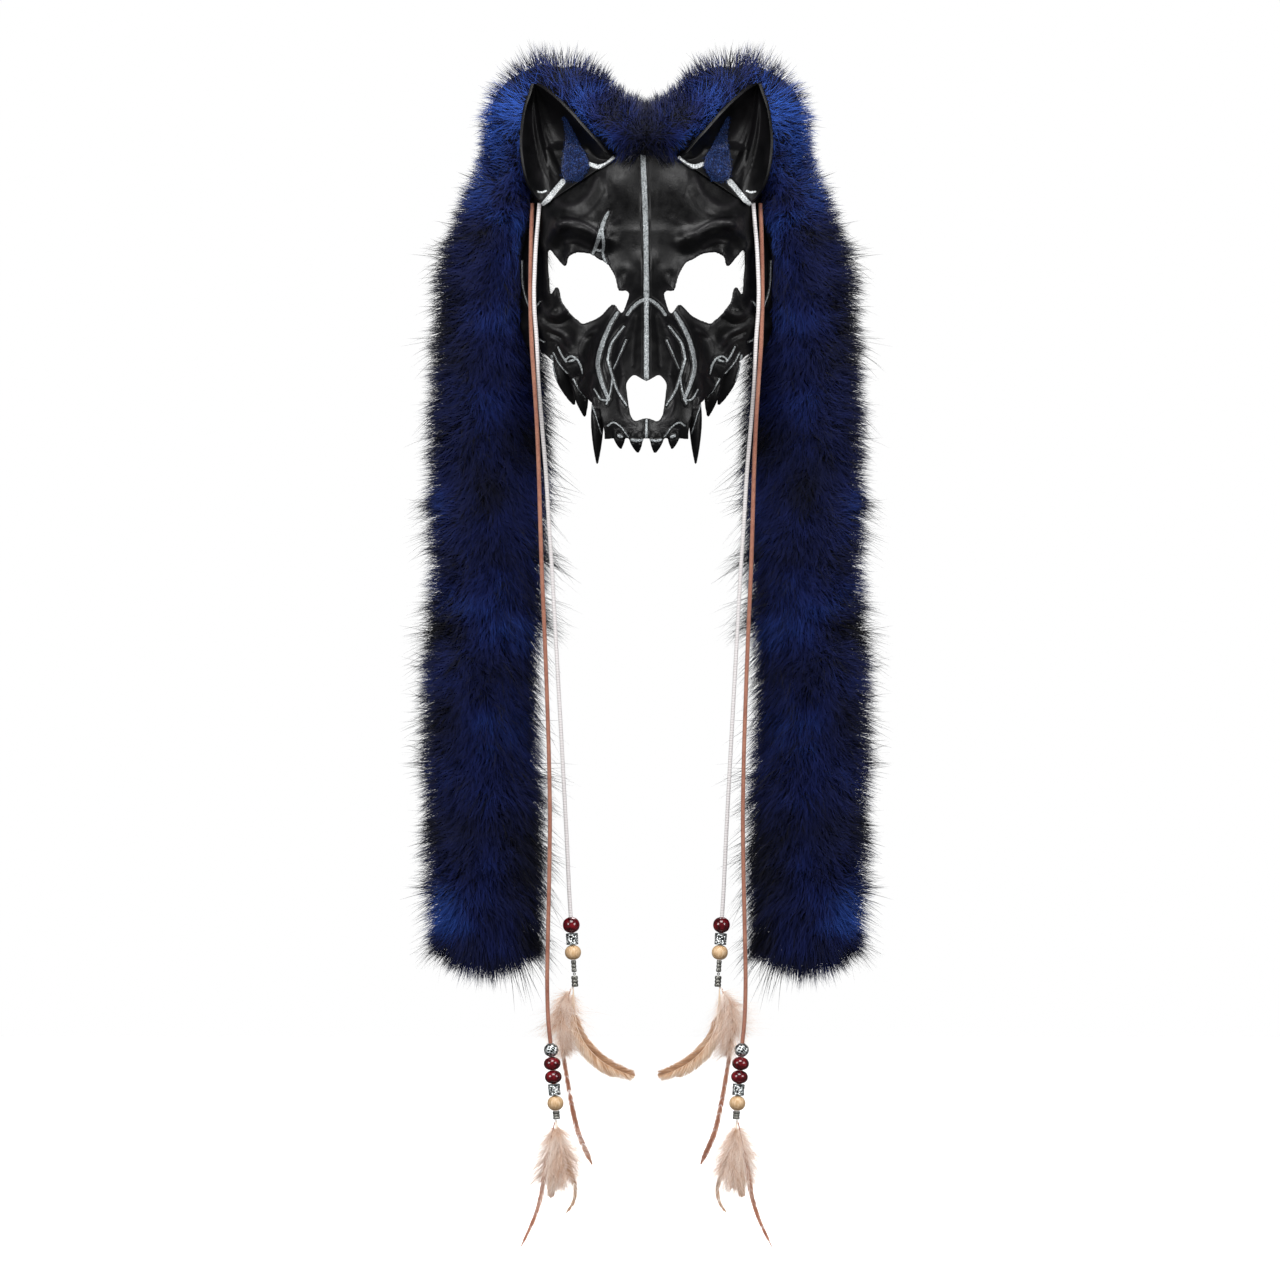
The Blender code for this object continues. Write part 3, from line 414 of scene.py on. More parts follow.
def plain_depth(x, z):
    """How far back the outer face lies, before the brow is set to zero."""
    depths = face_row(z)[:, 1:]
    share = np.clip(np.abs(x) / HALF_WIDTH, 0, 1)
    slopes = np.gradient(depths, SECTION_STATIONS, axis=1)
    i = np.clip((share / STATION_STEP).astype(int), 0, len(SECTION_STATIONS) - 2)
    row = np.arange(len(share))
    t = (share - SECTION_STATIONS[i]) / STATION_STEP
    depth = hermite(
        depths[row, i], depths[row, i + 1], STATION_STEP, slopes[row, i], slopes[row, i + 1], t
    )
    for x1, z1, x2, z2, spread, rise in FACE_RELIEF:
        start = (x1, float(high(z1)) / HALF_WIDTH)
        end = (x2, float(high(z2)) / HALF_WIDTH)
        depth -= rise * bell(to_segment(share, z / HALF_WIDTH, start, end)[0], spread)
    return depth * FACE_DEPTH


BROW_DEPTH = plain_depth(np.zeros(1), np.zeros(1))[0]


def face_front(x, z):
    """Y of the shell's outer face at many points."""
    x, z = np.atleast_1d(x).astype(float), np.atleast_1d(z).astype(float)
    return plain_depth(x, z) - BROW_DEPTH - SHELL_WALL


print("brow to nose", round(1000 * float(face_front(0, 0)[0] - face_front(0, -0.11)[0]), 1), "mm")

# %% [markdown]
# A grid bent to the face gets a wall, is cut by prisms through the eye, nose and cheek outlines,
# and is joined by the teeth. Building it again from small cells then rounds every edge softly, as
# a moulding tool does, and welds the teeth into the jaw.

# %% The shell's wall, openings and teeth
CELL = 0.00092
INNER_SHARE = 0.58
CORNER_SLOPE = 0.4
SHELL_GRID = (96, 112)


def sheet_mesh(name, counts, shape):
    """A bent grid: shape gives its points from the shares across and up, both from -1 to 1."""
    bm = bmesh.new()
    bmesh.ops.create_grid(bm, x_segments=counts[0], y_segments=counts[1], size=1.0)
    shares = np.array([v.co[:2] for v in bm.verts])
    for vert, spot in zip(bm.verts, shape(shares[:, 0], shares[:, 1])):
        vert.co = spot
    return plain_mesh(bm, name)


def add_wall(piece, thick, even=False):
    """Gives a sheet a wall behind its face."""
    wall = piece.modifiers.new("wall", "SOLIDIFY")
    wall.thickness = thick
    wall.offset = -1.0
    wall.use_even_offset = even


def rounded(outline, parts=4):
    """A closed smooth curve through an outline's corners."""
    points = np.array(outline, float)
    before, after, beyond = (np.roll(points, shift, axis=0) for shift in (1, -1, -2))
    out = []
    for i in range(len(points)):
        for t in np.arange(parts) / parts:
            slopes = after[i] - before[i], beyond[i] - points[i]
            out.append(hermite(points[i], after[i], CORNER_SLOPE, *slopes, t))
    return out


def add_prism(bm, outline, sign):
    """A prism from front to back through an outline."""
    face = bm.faces.new(
        [bm.verts.new((sign * x * HALF_WIDTH, -FACE_DEPTH, float(high(z)))) for x, z in outline]
    )
    grown = bmesh.ops.extrude_face_region(bm, geom=[face])["geom"]
    moved = [v for v in grown if isinstance(v, bmesh.types.BMVert)]
    bmesh.ops.translate(bm, verts=moved, vec=(0, 2 * FACE_DEPTH, 0))


def add_tooth(bm, row, sign, rings=14, sides=16):
    """A curved tooth of oval rings, from inside the jaw to its tip."""
    root_x, root_z, tip_x, tip_z, wide, thick, lean = row
    start = Vector((sign * root_x * HALF_WIDTH, 0.0, float(high(root_z))))
    start.y = float(face_front(start.x, start.z)[0]) + SHELL_WALL / 2
    end = Vector((sign * tip_x * HALF_WIDTH, start.y + lean * FACE_DEPTH, float(high(tip_z))))
    down = (end - start).normalized()
    across = Vector((0, 1, 0)).cross(down).normalized()
    through = down.cross(across)
    shares = np.linspace(0, 1, rings)
    sizes = smooth_rows([r[0] for r in TOOTH_FORM], [[r[1]] for r in TOOTH_FORM], shares)[:, 0]
    last = None
    for share, size in zip(shares, sizes):
        centre = start.lerp(end, share)
        centre.y = start.y + (end.y - start.y) * share**2
        half = size * HALF_WIDTH / 2
        ring = []
        for k in range(sides):
            turn = 2 * math.pi * k / sides
            aside = across * half * wide * math.cos(turn)
            ring.append(bm.verts.new(centre + aside + through * half * thick * math.sin(turn)))
        if last is None:
            bm.faces.new(ring)
        else:
            for k in range(sides):
                bm.faces.new((last[k], last[k - 1], ring[k - 1], ring[k]))
        last = ring
    bm.faces.new(last[::-1])


def face_sheet(across, up):
    low = float(high(FACE_SECTIONS[-1][0]))
    z = low + (CROWN_RISE - low) * (up + 1) / 2
    x = across * face_row(z)[:, 0] * HALF_WIDTH
    return np.stack([x, face_front(x, z), z], axis=1)


def make_shell_mesh():
    bm = bmesh.new()
    add_prism(bm, rounded(NOSE_OUTLINE + [(-x, z) for x, z in NOSE_OUTLINE[-2:0:-1]]), 1.0)
    for _, sign in SIDES:
        add_prism(bm, rounded(EYE_OUTLINE), sign)
        add_prism(bm, CHEEK_UNDERSIDE, sign)
    cutter = placed("openings", mesh_from(bm, "openings"))
    walled = placed("walled", sheet_mesh("walled", SHELL_GRID, face_sheet))
    add_wall(walled, SHELL_WALL, even=True)
    cut = walled.modifiers.new("openings", "BOOLEAN")
    cut.operation = "DIFFERENCE"
    cut.solver = "EXACT"
    cut.object = cutter
    bm = bmesh.new()
    bm.from_mesh(evaluated_mesh(walled))
    bpy.data.objects.remove(cutter, do_unlink=True)
    for _, sign in SIDES:
        for row in TEETH:
            add_tooth(bm, row, sign)
    joined = placed("joined", mesh_from(bm, "joined"))
    cells = joined.modifiers.new("cells", "REMESH")
    cells.mode = "VOXEL"
    cells.voxel_size = CELL
    ease = joined.modifiers.new("ease", "SMOOTH")
    ease.factor = 0.5
    ease.iterations = 3
    return evaluated_mesh(joined)


def lighten_inside(mesh, share):
    """Leaves fewer triangles on the inner face, which is smooth and turned to the wearer."""
    piece = placed("lighten", mesh)
    inner = piece.vertex_groups.new(name="inner")
    inner.add(np.flatnonzero(normals_of(mesh)[:, 1] > 0.2).tolist(), 1.0, "REPLACE")
    fewer = piece.modifiers.new("fewer", "DECIMATE")
    fewer.vertex_group = "inner"
    fewer.ratio = share
    return evaluated_mesh(piece)


shell_mesh = lighten_inside(make_shell_mesh(), INNER_SHARE)
shell_mesh.name = "mask_shell_fine"
print("shell points", len(shell_mesh.vertices))

# %% [markdown]
# The seams between the bones are painted silver and stand up a little. Each is a stroke with a
# width, in millimetres, and every point of the shell keeps its distance to the nearest one. The
# paint's edge then comes out sharp at any zoom, with no picture. The strokes with no paint are the
# sculpted folds round the eyes, brow and cheeks.

# %% Seams and folds of the skull
# Mirrored, width at the start and at the end, roughness of the paint, points x and z in mm
SEAMS = [
    (False, 4.1, 3.8, 1.0, [(-2.6, 58), (-2.2, 48), (-1.2, 24), (-0.2, -13), (0, -50)]),
    (False, 3.4, 3.6, 0.4, [(0, -53), (0, -80), (0, -113)]),
    (True, 2.6, 2.0, 0.3, [(0, -52.4), (5.5, -54.6), (10.2, -58.6), (14.2, -64.2)]),
    (False, 2.0, 3.8, 0.9, [(-28.6, 13.2), (-31.6, 7.0), (-33.9, -1.0)]),
    (False, 3.6, 2.1, 0.9, [(-33.9, -1.0), (-36.4, -8.6), (-39.7, -17.2)]),
    (False, 2.6, 1.3, 0.9, [(-33.4, -1.0), (-31.9, -10.0), (-32.3, -19.0), (-29.0, -25.0)]),
    (False, 1.8, 1.5, 0.9, [(-38.0, -13.5), (-35.6, -15.6), (-32.8, -15.0)]),
    (True, 2.5, 3.0, 0.7, [(21.7, -62.9), (26.8, -70.6), (30.9, -79.6), (34.9, -91.7)]),
    (True, 3.1, 2.6, 0.7, [(34.9, -91.7), (36.3, -101.7), (33.5, -114.6), (28.4, -127.5)]),
    (True, 1.3, 1.8, 0.5, [(17.0, -72.7), (22.0, -79.2), (26.3, -85.5), (29.1, -97.4)]),
    (True, 1.8, 1.3, 0.5, [(29.1, -97.4), (25.5, -110.3), (22.0, -120.4), (14.8, -132.5)]),
    (True, 1.1, 1.3, 0.4, [(25.5, -110.3), (26.8, -122.0), (29.9, -131.1)]),
    (True, 1.6, 0.8, 0.4, [(28.6, -128.4), (33.4, -128.0), (38.5, -120.1)]),
    (True, 0.9, 0.5, 0.3, [(15.2, -83.0), (19.6, -93.4), (24.8, -104.6)]),
    (True, 1.3, 0.9, 0.3, [(29.1, -147.6), (24.8, -145.0), (20.6, -147.2), (13.4, -156.2)]),
    (True, 2.1, 1.8, 0.3, [(10.8, -158.2), (6.8, -159.0), (3.2, -158.2)]),
    (True, 2.8, 1.8, 0.3, [(20.6, -155.2), (18.4, -156.0)]),
    (False, 1.8, 2.1, 0.5, [(0, -143.6), (0, -150.0), (0, -157.6)]),
    (True, 1.0, 0.6, 0.3, [(40.6, -131.9), (37.2, -142.0), (33.5, -153.4)]),
    (True, 1.3, 1.6, 0.3, [(60.6, -97.0), (56.8, -94.6), (52.4, -96.6), (49.4, -101.4)]),
    (True, 1.6, 0.7, 0.3, [(49.4, -101.4), (48.0, -107.8)]),
    (True, 2.0, 1.1, 0.3, [(54.6, -97.6), (58.2, -98.6)]),
    (True, 1.1, 1.3, 0.4, [(66.5, -87.4), (63.4, -94.0), (60.2, -98.6)]),
    (True, 0.9, 0.7, 0.3, [(70.0, -91.7), (66.0, -99.6), (59.3, -107.4)]),
    (True, 1.5, 0.8, 0.9, [(71.4, -93.9), (70.0, -103.0), (67.1, -113.2)]),
    (True, 1.3, 0.5, 0.3, [(55.0, -111.8), (50.6, -119.6), (45.6, -126.1)]),
    (True, 1.1, 0.8, 0.3, [(94.0, -22.0), (92.6, -45.0), (88.8, -56.3)]),
    (True, 2.0, 0.9, 0.3, [(83.4, -56.5), (79.6, -53.0)]),
    (True, 1.6, 0.9, 0.3, [(82.0, -81.0), (77.0, -83.6)]),
]
# Rise and spread in mm, then points
FOLDS = [
    (1.5, 2.4, [(67, 4), (58, 7), (47, 4), (38, -2)]),
    (1.1, 1.8, [(60, -9), (52, -8), (43, -12)]),
    (-0.9, 2.0, [(64, -2), (54, 0), (44, -4)]),
    (1.2, 2.6, [(72, 30), (66, 20), (55, 18), (43, 26), (37, 38)]),
    (-0.8, 2.6, [(66, 12), (54, 10), (42, 16), (33, 30)]),
    (0.5, 2.2, [(30, 44), (31, 34), (29, 27)]),
    (0.4, 2.4, [(20, 8), (30, 2), (38, -6)]),
    (1.0, 1.6, [(80, -52), (76, -60), (68, -64), (60, -60)]),
    (-0.9, 1.4, [(82, -60), (74, -68), (64, -70), (57, -66)]),
    (0.9, 1.5, [(78, -70), (70, -74), (62, -78), (56, -86)]),
    (0.9, 1.3, [(72, -80), (64, -84), (58, -92)]),
    (-0.7, 1.2, [(74, -76), (66, -80), (60, -86)]),
    (0.8, 1.6, [(38, -74), (46, -80), (50, -90), (48, -98)]),
    (-1.0, 2.2, [(41, -80), (43, -92), (42, -104)]),
    (1.0, 1.8, [(38, -110), (40, -120), (38, -134)]),
    (-0.8, 1.3, [(24, -70), (31, -84), (32, -100), (29, -114)]),
    (0.7, 1.4, [(10, -62), (16, -76), (20, -92), (18, -108)]),
    (-0.7, 1.6, [(7, -66), (9, -84), (10, -102)]),
    (0.9, 1.6, [(18, -112), (20, -124), (17, -140), (8, -147)]),
    (0.8, 1.5, [(9, -150), (16, -149), (24, -150)]),
    (-0.8, 1.2, [(12, -153), (14.5, -158)]),
    (0.8, 1.2, [(46, -112), (50, -118), (46, -128)]),
]
UNPAINTED = 9.0


def stroke_distance(x, z, points):
    """Distance to a line through points, and the share along it of the nearest spot."""
    runs = [math.dist(a, b) for a, b in zip(points, points[1:])]
    best = np.full(len(x), 1e9)
    along = np.zeros(len(x))
    gone = 0.0
    for a, b, run in zip(points, points[1:], runs):
        far, t = to_segment(x, z, a, b)
        nearer = far < best
        best = np.where(nearer, far, best)
        along = np.where(nearer, (gone + t * run) / sum(runs), along)
        gone += run
    return best, along


def curved(points, parts=4):
    """More points on a smooth curve through a stroke's points."""
    return [tuple(p) for p in on_route(points, parts * (len(points) - 1) + 1)]


def seam_distance(x, z, seams):
    """Signed distance in mm to the edge of the nearest seam, and that seam's roughness."""
    best = np.full(len(x), 60.0)
    rough = np.zeros(len(x))
    for both, start, end, kind, points in seams:
        far, along = stroke_distance(np.abs(x) if both else x, z, curved(points))
        edge = far - (start + (end - start) * along) / 2
        nearer = edge < best
        best = np.where(nearer, edge, best)
        rough = np.where(nearer, kind, rough)
    return best, rough


def fold_rise(x, z, folds):
    """How far the folds stand up at each point, in mm."""
    rise = np.zeros(len(x))
    for height, spread, points in folds:
        rise += height * bell(stroke_distance(np.abs(x), z, curved(points))[0], spread)
    return rise


def outline_distance(x, z, outline):
    """Distance in mm to the edge of an opening."""
    points = [(px * HALF_WIDTH / MM, float(high(pz)) / MM) for px, pz in rounded(outline, 2)]
    return stroke_distance(np.abs(x), z, points + points[:1])[0]


spots = positions(shell_mesh)
out = normals_of(shell_mesh)
x_mm, z_mm = spots[:, 0] / MM, spots[:, 2] / MM
front = np.clip(-out[:, 1] * 2.0, 0, 1)
seam, seam_rough = seam_distance(x_mm, z_mm, SEAMS)
folds = fold_rise(x_mm, z_mm, FOLDS)
eye_rim = bell(outline_distance(x_mm, z_mm, EYE_OUTLINE), 3.0)
knobs = lumps(spots, 0.0021, 3) + 0.5 * lumps(spots, 0.0011, 4)
dents = lumps(spots, 0.012, 5) - 0.5
rise = folds * 0.62 + 0.9 * eye_rim + 0.9 * dents
rise += np.clip(0.6 - seam, 0, 1) * (0.28 + 0.42 * seam_rough * (knobs - 0.4))
rise -= 0.35 * bell(seam - 1.0, 0.7)
move_to(shell_mesh, spots + out * (rise * front)[:, None] * MM)
keep_values(shell_mesh, "seam", np.where(front > 0.05, seam, UNPAINTED))
keep_values(shell_mesh, "seam_rough", seam_rough)
# The ridge value lightens raised folds and eye rims in the colour: a painted highlight, with some
# dust.
keep_values(shell_mesh, "ridge", np.clip(folds * 0.55 + eye_rim * 0.5, 0, 1))
print("painted points", int((seam < 0).sum()))


def moulded(name, shine, paint):
    """Near-black moulded plastic with a leathery grain, silver paint on its seams, and lighter
    ridges that are a painted highlight with some dust.
    """
    made = Finish(name, 0.4)
    made.set("Specular IOR Level", shine)
    patches = made.noise(0.022, 4)
    grain = made.noise(0.0016, 4, 0.65)
    black = made.ramp(patches, (0.3, "030304"), (0.55, "070708"), (0.75, "0e0d0f"))
    # Lighter grey where the ridge value is high: painted highlight with some dust.
    dust_and_ridge_highlight = made.mix(made.maths("MULTIPLY", made.attribute("ridge"), 0.4), black, "2c2a2d")
    wear = made.ramp(made.noise(0.006, 3), (0.35, 0.30), (0.7, 0.46))
    wobble = made.maths("MULTIPLY", made.noise(0.0011, 2), 0.9)
    edge = made.maths("ADD", made.attribute("seam"), wobble)
    share = made.ramp(edge, (0.30, 1.0), (0.62, 0.0))
    flecks = made.noise(0.0009, 3, 0.7)
    silver = made.ramp(flecks, *zip((0.30, 0.44, 0.60), paint))
    worn = made.ramp(made.noise(0.0019, 2), (0.36, "1c1d1f"), (0.50, "808587"))
    bare = made.maths("MULTIPLY", made.attribute("seam_rough"), 0.55)
    rough_silver = made.mix(bare, silver, worn)
    made.set("Base Color", made.mix(share, dust_and_ridge_highlight, rough_silver))
    made.set("Metallic", made.maths("MULTIPLY", share, 0.30))
    made.set("Roughness", wear)
    knobs = made.maths("MULTIPLY", flecks, share)
    made.bump(made.maths("ADD", made.maths("MULTIPLY", grain, 0.35), knobs), 0.0006, 0.7)
    return made.material


skull_plastic = moulded("moulded_black_plastic", 0.22, ("232426", "64686a", "c4c9cb"))
show("mask_shell_fine", shell_mesh, skull_plastic, ["mask_shell"])

# %% [markdown]
# ## The ears
#
# Each ear is a thin moulded cup with a folded ridge inside and small creases across it. Its rim
# and the silver bars at its base use the same stroke distances as the skull. The blue insert is a
# pad of short curly plush laid in the cup.

# %% Ears
EAR_INNER = 0.0224
EAR_LOW = 0.019
EAR_WIDE = 0.0705
EAR_TALL = 0.0914
EAR_DEEP = 0.030
EAR_WALL = 0.0022
SEAT_GAP = 0.0003
CUP_CURVE = 2.2
EAR_LEAN_BACK = 1.5
EAR_GRID = (64, 80)

# Inner x, inner z, inner y, outer x, outer z, outer y, cup depth
EAR_SECTIONS = [
    (0.02, 0.383, 0.10, 0.783, 0.000, 0.70, 0.00),
    (0.12, 0.430, -0.10, 0.870, 0.090, 0.50, 0.55),
    (0.22, 0.520, -0.10, 0.955, 0.230, 0.42, 0.80),
    (0.34, 0.620, -0.03, 0.998, 0.430, 0.42, 0.90),
    (0.48, 0.745, 0.13, 1.000, 0.600, 0.48, 0.85),
    (0.64, 0.870, 0.37, 0.968, 0.790, 0.60, 0.58),
    (0.77, 0.955, 0.60, 0.915, 0.915, 0.70, 0.30),
    (0.855, 0.995, 0.77, 0.880, 1.000, 0.78, 0.05),
]
# Place and spread across the cup, share of its depth
EAR_FOLD = (0.42, 0.16, 0.10)
# Up the ear, from and to across the cup
LINING_SECTIONS = [
    (0.02, -0.22, 0.08),
    (0.07, -0.43, 0.22),
    (0.16, -0.56, 0.19),
    (0.27, -0.64, 0.05),
    (0.40, -0.72, -0.24),
    (0.57, -0.80, -0.60),
]
EAR_SEAMS = [
    (True, 4.2, 4.2, 0.15, [(62.6, 36.8), (77.4, 19.4)]),
    (True, 3.0, 3.6, 0.15, [(42.6, 49.8), (36.4, 47.6), (30.5, 49.0), (26.0, 52.4), (21.6, 56.4)]),
    (True, 1.2, 1.6, 0.15, [(82.2, 29.4), (79.0, 28.8), (75.4, 29.9)]),
]
# Rise in mm, spread and place across the cup, then from and to up the ear
EAR_CREASES = [
    (0.9, 0.05, 0.10, 0.22, 0.62),
    (-1.2, 0.07, 0.24, 0.12, 0.60),
    (1.3, 0.08, 0.40, 0.14, 0.74),
    (-0.7, 0.06, 0.56, 0.20, 0.66),
]


def ear_points(across, up):
    """Inner face of the right ear at many points: across from -1 to 1, up from 0 to 1."""
    across, up = np.atleast_1d(across).astype(float), np.atleast_1d(up).astype(float)
    row = smooth_rows(np.linspace(0, 1, len(EAR_SECTIONS)), EAR_SECTIONS, up)
    size = np.array([EAR_WIDE, EAR_DEEP, EAR_TALL])
    inner = row[:, [0, 2, 1]] * size
    outer = row[:, [3, 5, 4]] * size
    spot = inner + (outer - inner) * ((across + 1) / 2)[:, None]
    x, y, z = spot[:, 0] + EAR_INNER, spot[:, 1], spot[:, 2] + EAR_LOW
    place_across, spread, rise = EAR_FOLD
    cup = row[:, 6] * EAR_DEEP
    y = y + cup * (1 - np.abs(across) ** CUP_CURVE)
    y -= rise * cup * bell(across - place_across, spread)
    seat = face_front(x, np.minimum(z, CROWN_RISE)) - SEAT_GAP - EAR_WALL
    free = np.maximum(0.0, z - CROWN_RISE - 2 * EAR_WALL) * EAR_LEAN_BACK
    y = np.minimum(y, seat - SEAT_GAP * 3 + free)
    return np.stack([x, y, z], axis=1)


def crease_rise(across, up):
    """How far the creases and fine ripples stand up in the cup, in mm."""
    rise = np.zeros(len(across))
    for height, spread, at, low, top in EAR_CREASES:
        fade = np.clip((up - low) / 0.08, 0, 1) * np.clip((top - up) / 0.12, 0, 1)
        lean = at + 0.10 * (up - 0.4)
        rise += height * fade * bell(across - lean, spread)
    ripple = np.sin(up * 150 + across * 9) * bell(across - 0.68, 0.2)
    rise += 0.28 * ripple * np.clip(1 - np.abs(up - 0.36) / 0.16, 0, 1)
    return rise


def make_ear(side, sign):
    def creased(across, up):
        across, up = across * sign, (up + 1) / 2
        spot = ear_points(across, up)
        spot[:, 1] -= crease_rise(across, up) * MM
        spot[:, 1] -= 0.3 * MM * bell(1 - np.abs(across), 0.05)
        return spot * np.array([sign, 1.0, 1.0])

    ear = placed("ear_sheet", sheet_mesh("ear_sheet", EAR_GRID, creased))
    add_wall(ear, EAR_WALL)
    bevel = ear.modifiers.new("rim", "BEVEL")
    bevel.width = 0.0007
    bevel.segments = 2
    bevel.angle_limit = math.radians(50)
    mesh = evaluated_mesh(ear)
    mesh.name = "ear_" + side
    mesh.shade_smooth()
    spot, out = positions(mesh), normals_of(mesh)
    seam, rough = seam_distance(spot[:, 0] / MM, spot[:, 2] / MM, EAR_SEAMS)
    front = np.clip(-out[:, 1] * 3, 0, 1)
    move_to(mesh, spot + out * (np.clip(0.6 - seam, 0, 1) * 0.5 * front)[:, None] * MM)
    keep_values(mesh, "seam", np.where(front > 0.2, seam, UNPAINTED))
    keep_values(mesh, "seam_rough", rough)
    keep_values(mesh, "ridge", np.clip(lumps(spot, 0.014, 7) - 0.45, 0, 1) * front)
    return mesh


for side, sign in SIDES:
    ear_plastic = moulded("moulded_ear_plastic_" + side, 0.17, ("4c4f51", "a2a6a8", "f0f3f4"))
    show("ear_fine_" + side, make_ear(side, sign), ear_plastic, ["ear_" + side])

# %% [markdown]
# The plush stands up in little curls, so the pad is lumpy and carries a few thousand short fibres.
# Fibres of every kind in this model are made by one function: flat ribbons that taper to a point.
# Hair systems would be lighter to write, but only real faces stay with the model.

# %% Fibres, and the plush inserts
PAD_GRID = (26, 54)
PAD_WALL = 0.0009
PLUSH_COUNT = 5200
PLUSH_WIDE = 0.00028


def ribbons(name, lines, wide, facing, tone, soft=None):
    """Tapered flat fibres as one mesh. lines is (fibres, points, 3), wide their root widths,
    facing the way each flat side looks, tone a value for each point, soft their shading."""
    count, steps, _ = lines.shape
    run = unit(np.gradient(lines, axis=1))
    across = unit(np.cross(run, facing[:, None, :]))
    taper = (1 - np.linspace(0, 1, steps) ** 1.6)[None, :-1, None]
    half = across[:, :-1] * (wide[:, None, None] / 2) * taper
    left, right = lines[:, :-1] - half, lines[:, :-1] + half
    each = 2 * (steps - 1) + 1
    points = np.empty((count, each, 3))
    points[:, 0:-1:2] = left
    points[:, 1:-1:2] = right
    points[:, -1] = lines[:, -1]
    corners, counts = [], []
    for k in range(steps - 2):
        corners += [2 * k, 2 * k + 1, 2 * k + 3, 2 * k + 2]
        counts.append(4)
    corners += [each - 3, each - 2, each - 1]
    counts.append(3)
    start = (np.arange(count) * each)[:, None]
    mesh = mesh_from_arrays(
        name, points.reshape(-1, 3), (start + np.array(corners)).ravel(), np.tile(counts, count)
    )
    tones = np.empty((count, each))
    tones[:, 0:-1:2] = tone[:, :-1]
    tones[:, 1:-1:2] = tone[:, :-1]
    tones[:, -1] = tone[:, -1]
    keep_values(mesh, "tone", tones.ravel())
    if soft is not None:
        mesh.normals_split_custom_set_from_vertices(np.repeat(soft, each, axis=0))
    return mesh


def lining_grid(counts):
    """Points of the insert on the ear's face, with the share across and up of each."""
    across, up = np.meshgrid(np.linspace(-1, 1, counts[0]), np.linspace(0, 1, counts[1]))
    across, up = across.ravel(), up.ravel()
    rows = np.array(LINING_SECTIONS)
    at = rows[0, 0] + (rows[-1, 0] - rows[0, 0]) * up
    edges = smooth_rows(rows[:, 0], rows[:, 1:], at)
    round_off = np.sqrt(np.clip(1 - np.clip(1 - up / 0.30, 0, 1) ** 2, 0.0004, 1))
    round_off *= np.interp(up, [0.0, 0.35, 0.6, 0.85, 1.0], [1.0, 0.97, 0.78, 0.55, 0.25])
    middle = edges.mean(axis=1)
    cup = middle + (edges[:, 1] - edges[:, 0]) / 2 * across * round_off
    spot = ear_points(cup, at)
    spot[:, 1] -= crease_rise(cup, at) * MM
    return spot, across, up


def make_lining(side, sign):
    """The pad's mesh, and its points on the right-hand side for the fibres."""
    spot, across, up = lining_grid(PAD_GRID)
    crown = np.sqrt(np.clip(1 - across**2, 0, 1)) * np.clip(np.minimum(up, 1 - up) * 9, 0, 1) ** 0.5
    curls = lumps(spot, 0.0022, 21) + 0.6 * lumps(spot, 0.0011, 22)
    spot[:, 1] -= 0.0010 + crown * (0.0016 + 0.0011 * curls)
    bm = bmesh.new()
    bmesh.ops.create_grid(bm, x_segments=PAD_GRID[0] - 1, y_segments=PAD_GRID[1] - 1, size=1.0)
    order = np.lexsort(([v.co.x for v in bm.verts], [round(v.co.y, 5) for v in bm.verts]))
    bm.verts.ensure_lookup_table()
    for place, index in enumerate(order):
        x, y, z = spot[place]
        bm.verts[int(index)].co = (sign * x, y, z)
    if sign < 0:
        bmesh.ops.reverse_faces(bm, faces=bm.faces[:])
    pad = placed("pad", plain_mesh(bm, "pad"))
    add_wall(pad, PAD_WALL)
    mesh = evaluated_mesh(pad)
    mesh.name = "plush_pad_" + side
    mesh.shade_smooth()
    return mesh, spot


def fibre_colour(name, low, middle, top, rough=0.6, sheen=0.0):
    """A fibre's material, coloured by the tone that its points carry."""
    made = Finish(name, rough)
    tone = made.attribute("tone")
    made.set("Base Color", made.ramp(tone, (0.0, low), (0.5, middle), (1.0, top)))
    made.set("Sheen Weight", sheen)
    made.set("Specular IOR Level", 0.2)
    return made.material


for side, sign in SIDES:
    mesh, spot = make_lining(side, sign)
    plush = grained(
        "blue_plush_" + side, 0.95, ((0.36, "02040e"), (0.48, "0e1b46"), (0.60, "31509a")),
        (0.0016, 3, 0.7), relief=0.0012, strength=0.9, Sheen_Weight=0.25,
    )
    show("plush_pad_" + side, mesh, plush, ["ear_lining_" + side])
    rng = np.random.default_rng(31)
    root = spot[rng.integers(0, len(spot), PLUSH_COUNT)] * np.array([sign, 1, 1])
    root += rng.normal(0, 0.00045, root.shape) * np.array([1, 0, 1])
    lean = unit(rng.normal(0, 1, root.shape) * np.array([1, 0.4, 1]) + np.array([0, -1.1, -0.2]))
    long = rng.uniform(0.0009, 0.0021, len(root))[:, None]
    tip = root + lean * long + np.array([0, 0, -0.0003])
    lines = np.stack([root, root + lean * long * 0.6, tip], axis=1)
    # Painted shade at the roots: each fibre's tone rises from root to tip.
    tone = np.clip(rng.normal(0.45, 0.32, (len(root), 1)) + np.array([[-0.3, 0.0, 0.2]]), 0, 1)
    facing = np.tile([0.0, -1.0, 0.0], (len(root), 1)) + rng.normal(0, 0.3, root.shape)
    fuzz = ribbons("plush_fibres_" + side, lines, np.full(len(root), PLUSH_WIDE), facing, tone)
    fibre = fibre_colour("blue_plush_fibre_" + side, "050a1c", "101f4c", "32548f")
    show("plush_fibres_" + side, fuzz, fibre, ())

# %% [markdown]
# ## Cords
#
# Both cords of a side leave from under the ear and hang free to their beads. Each is one smooth
# curve through the points that the solid follows, thick as the real cord. The white one is a round
# woven cord and the brown one is soft suede lace.

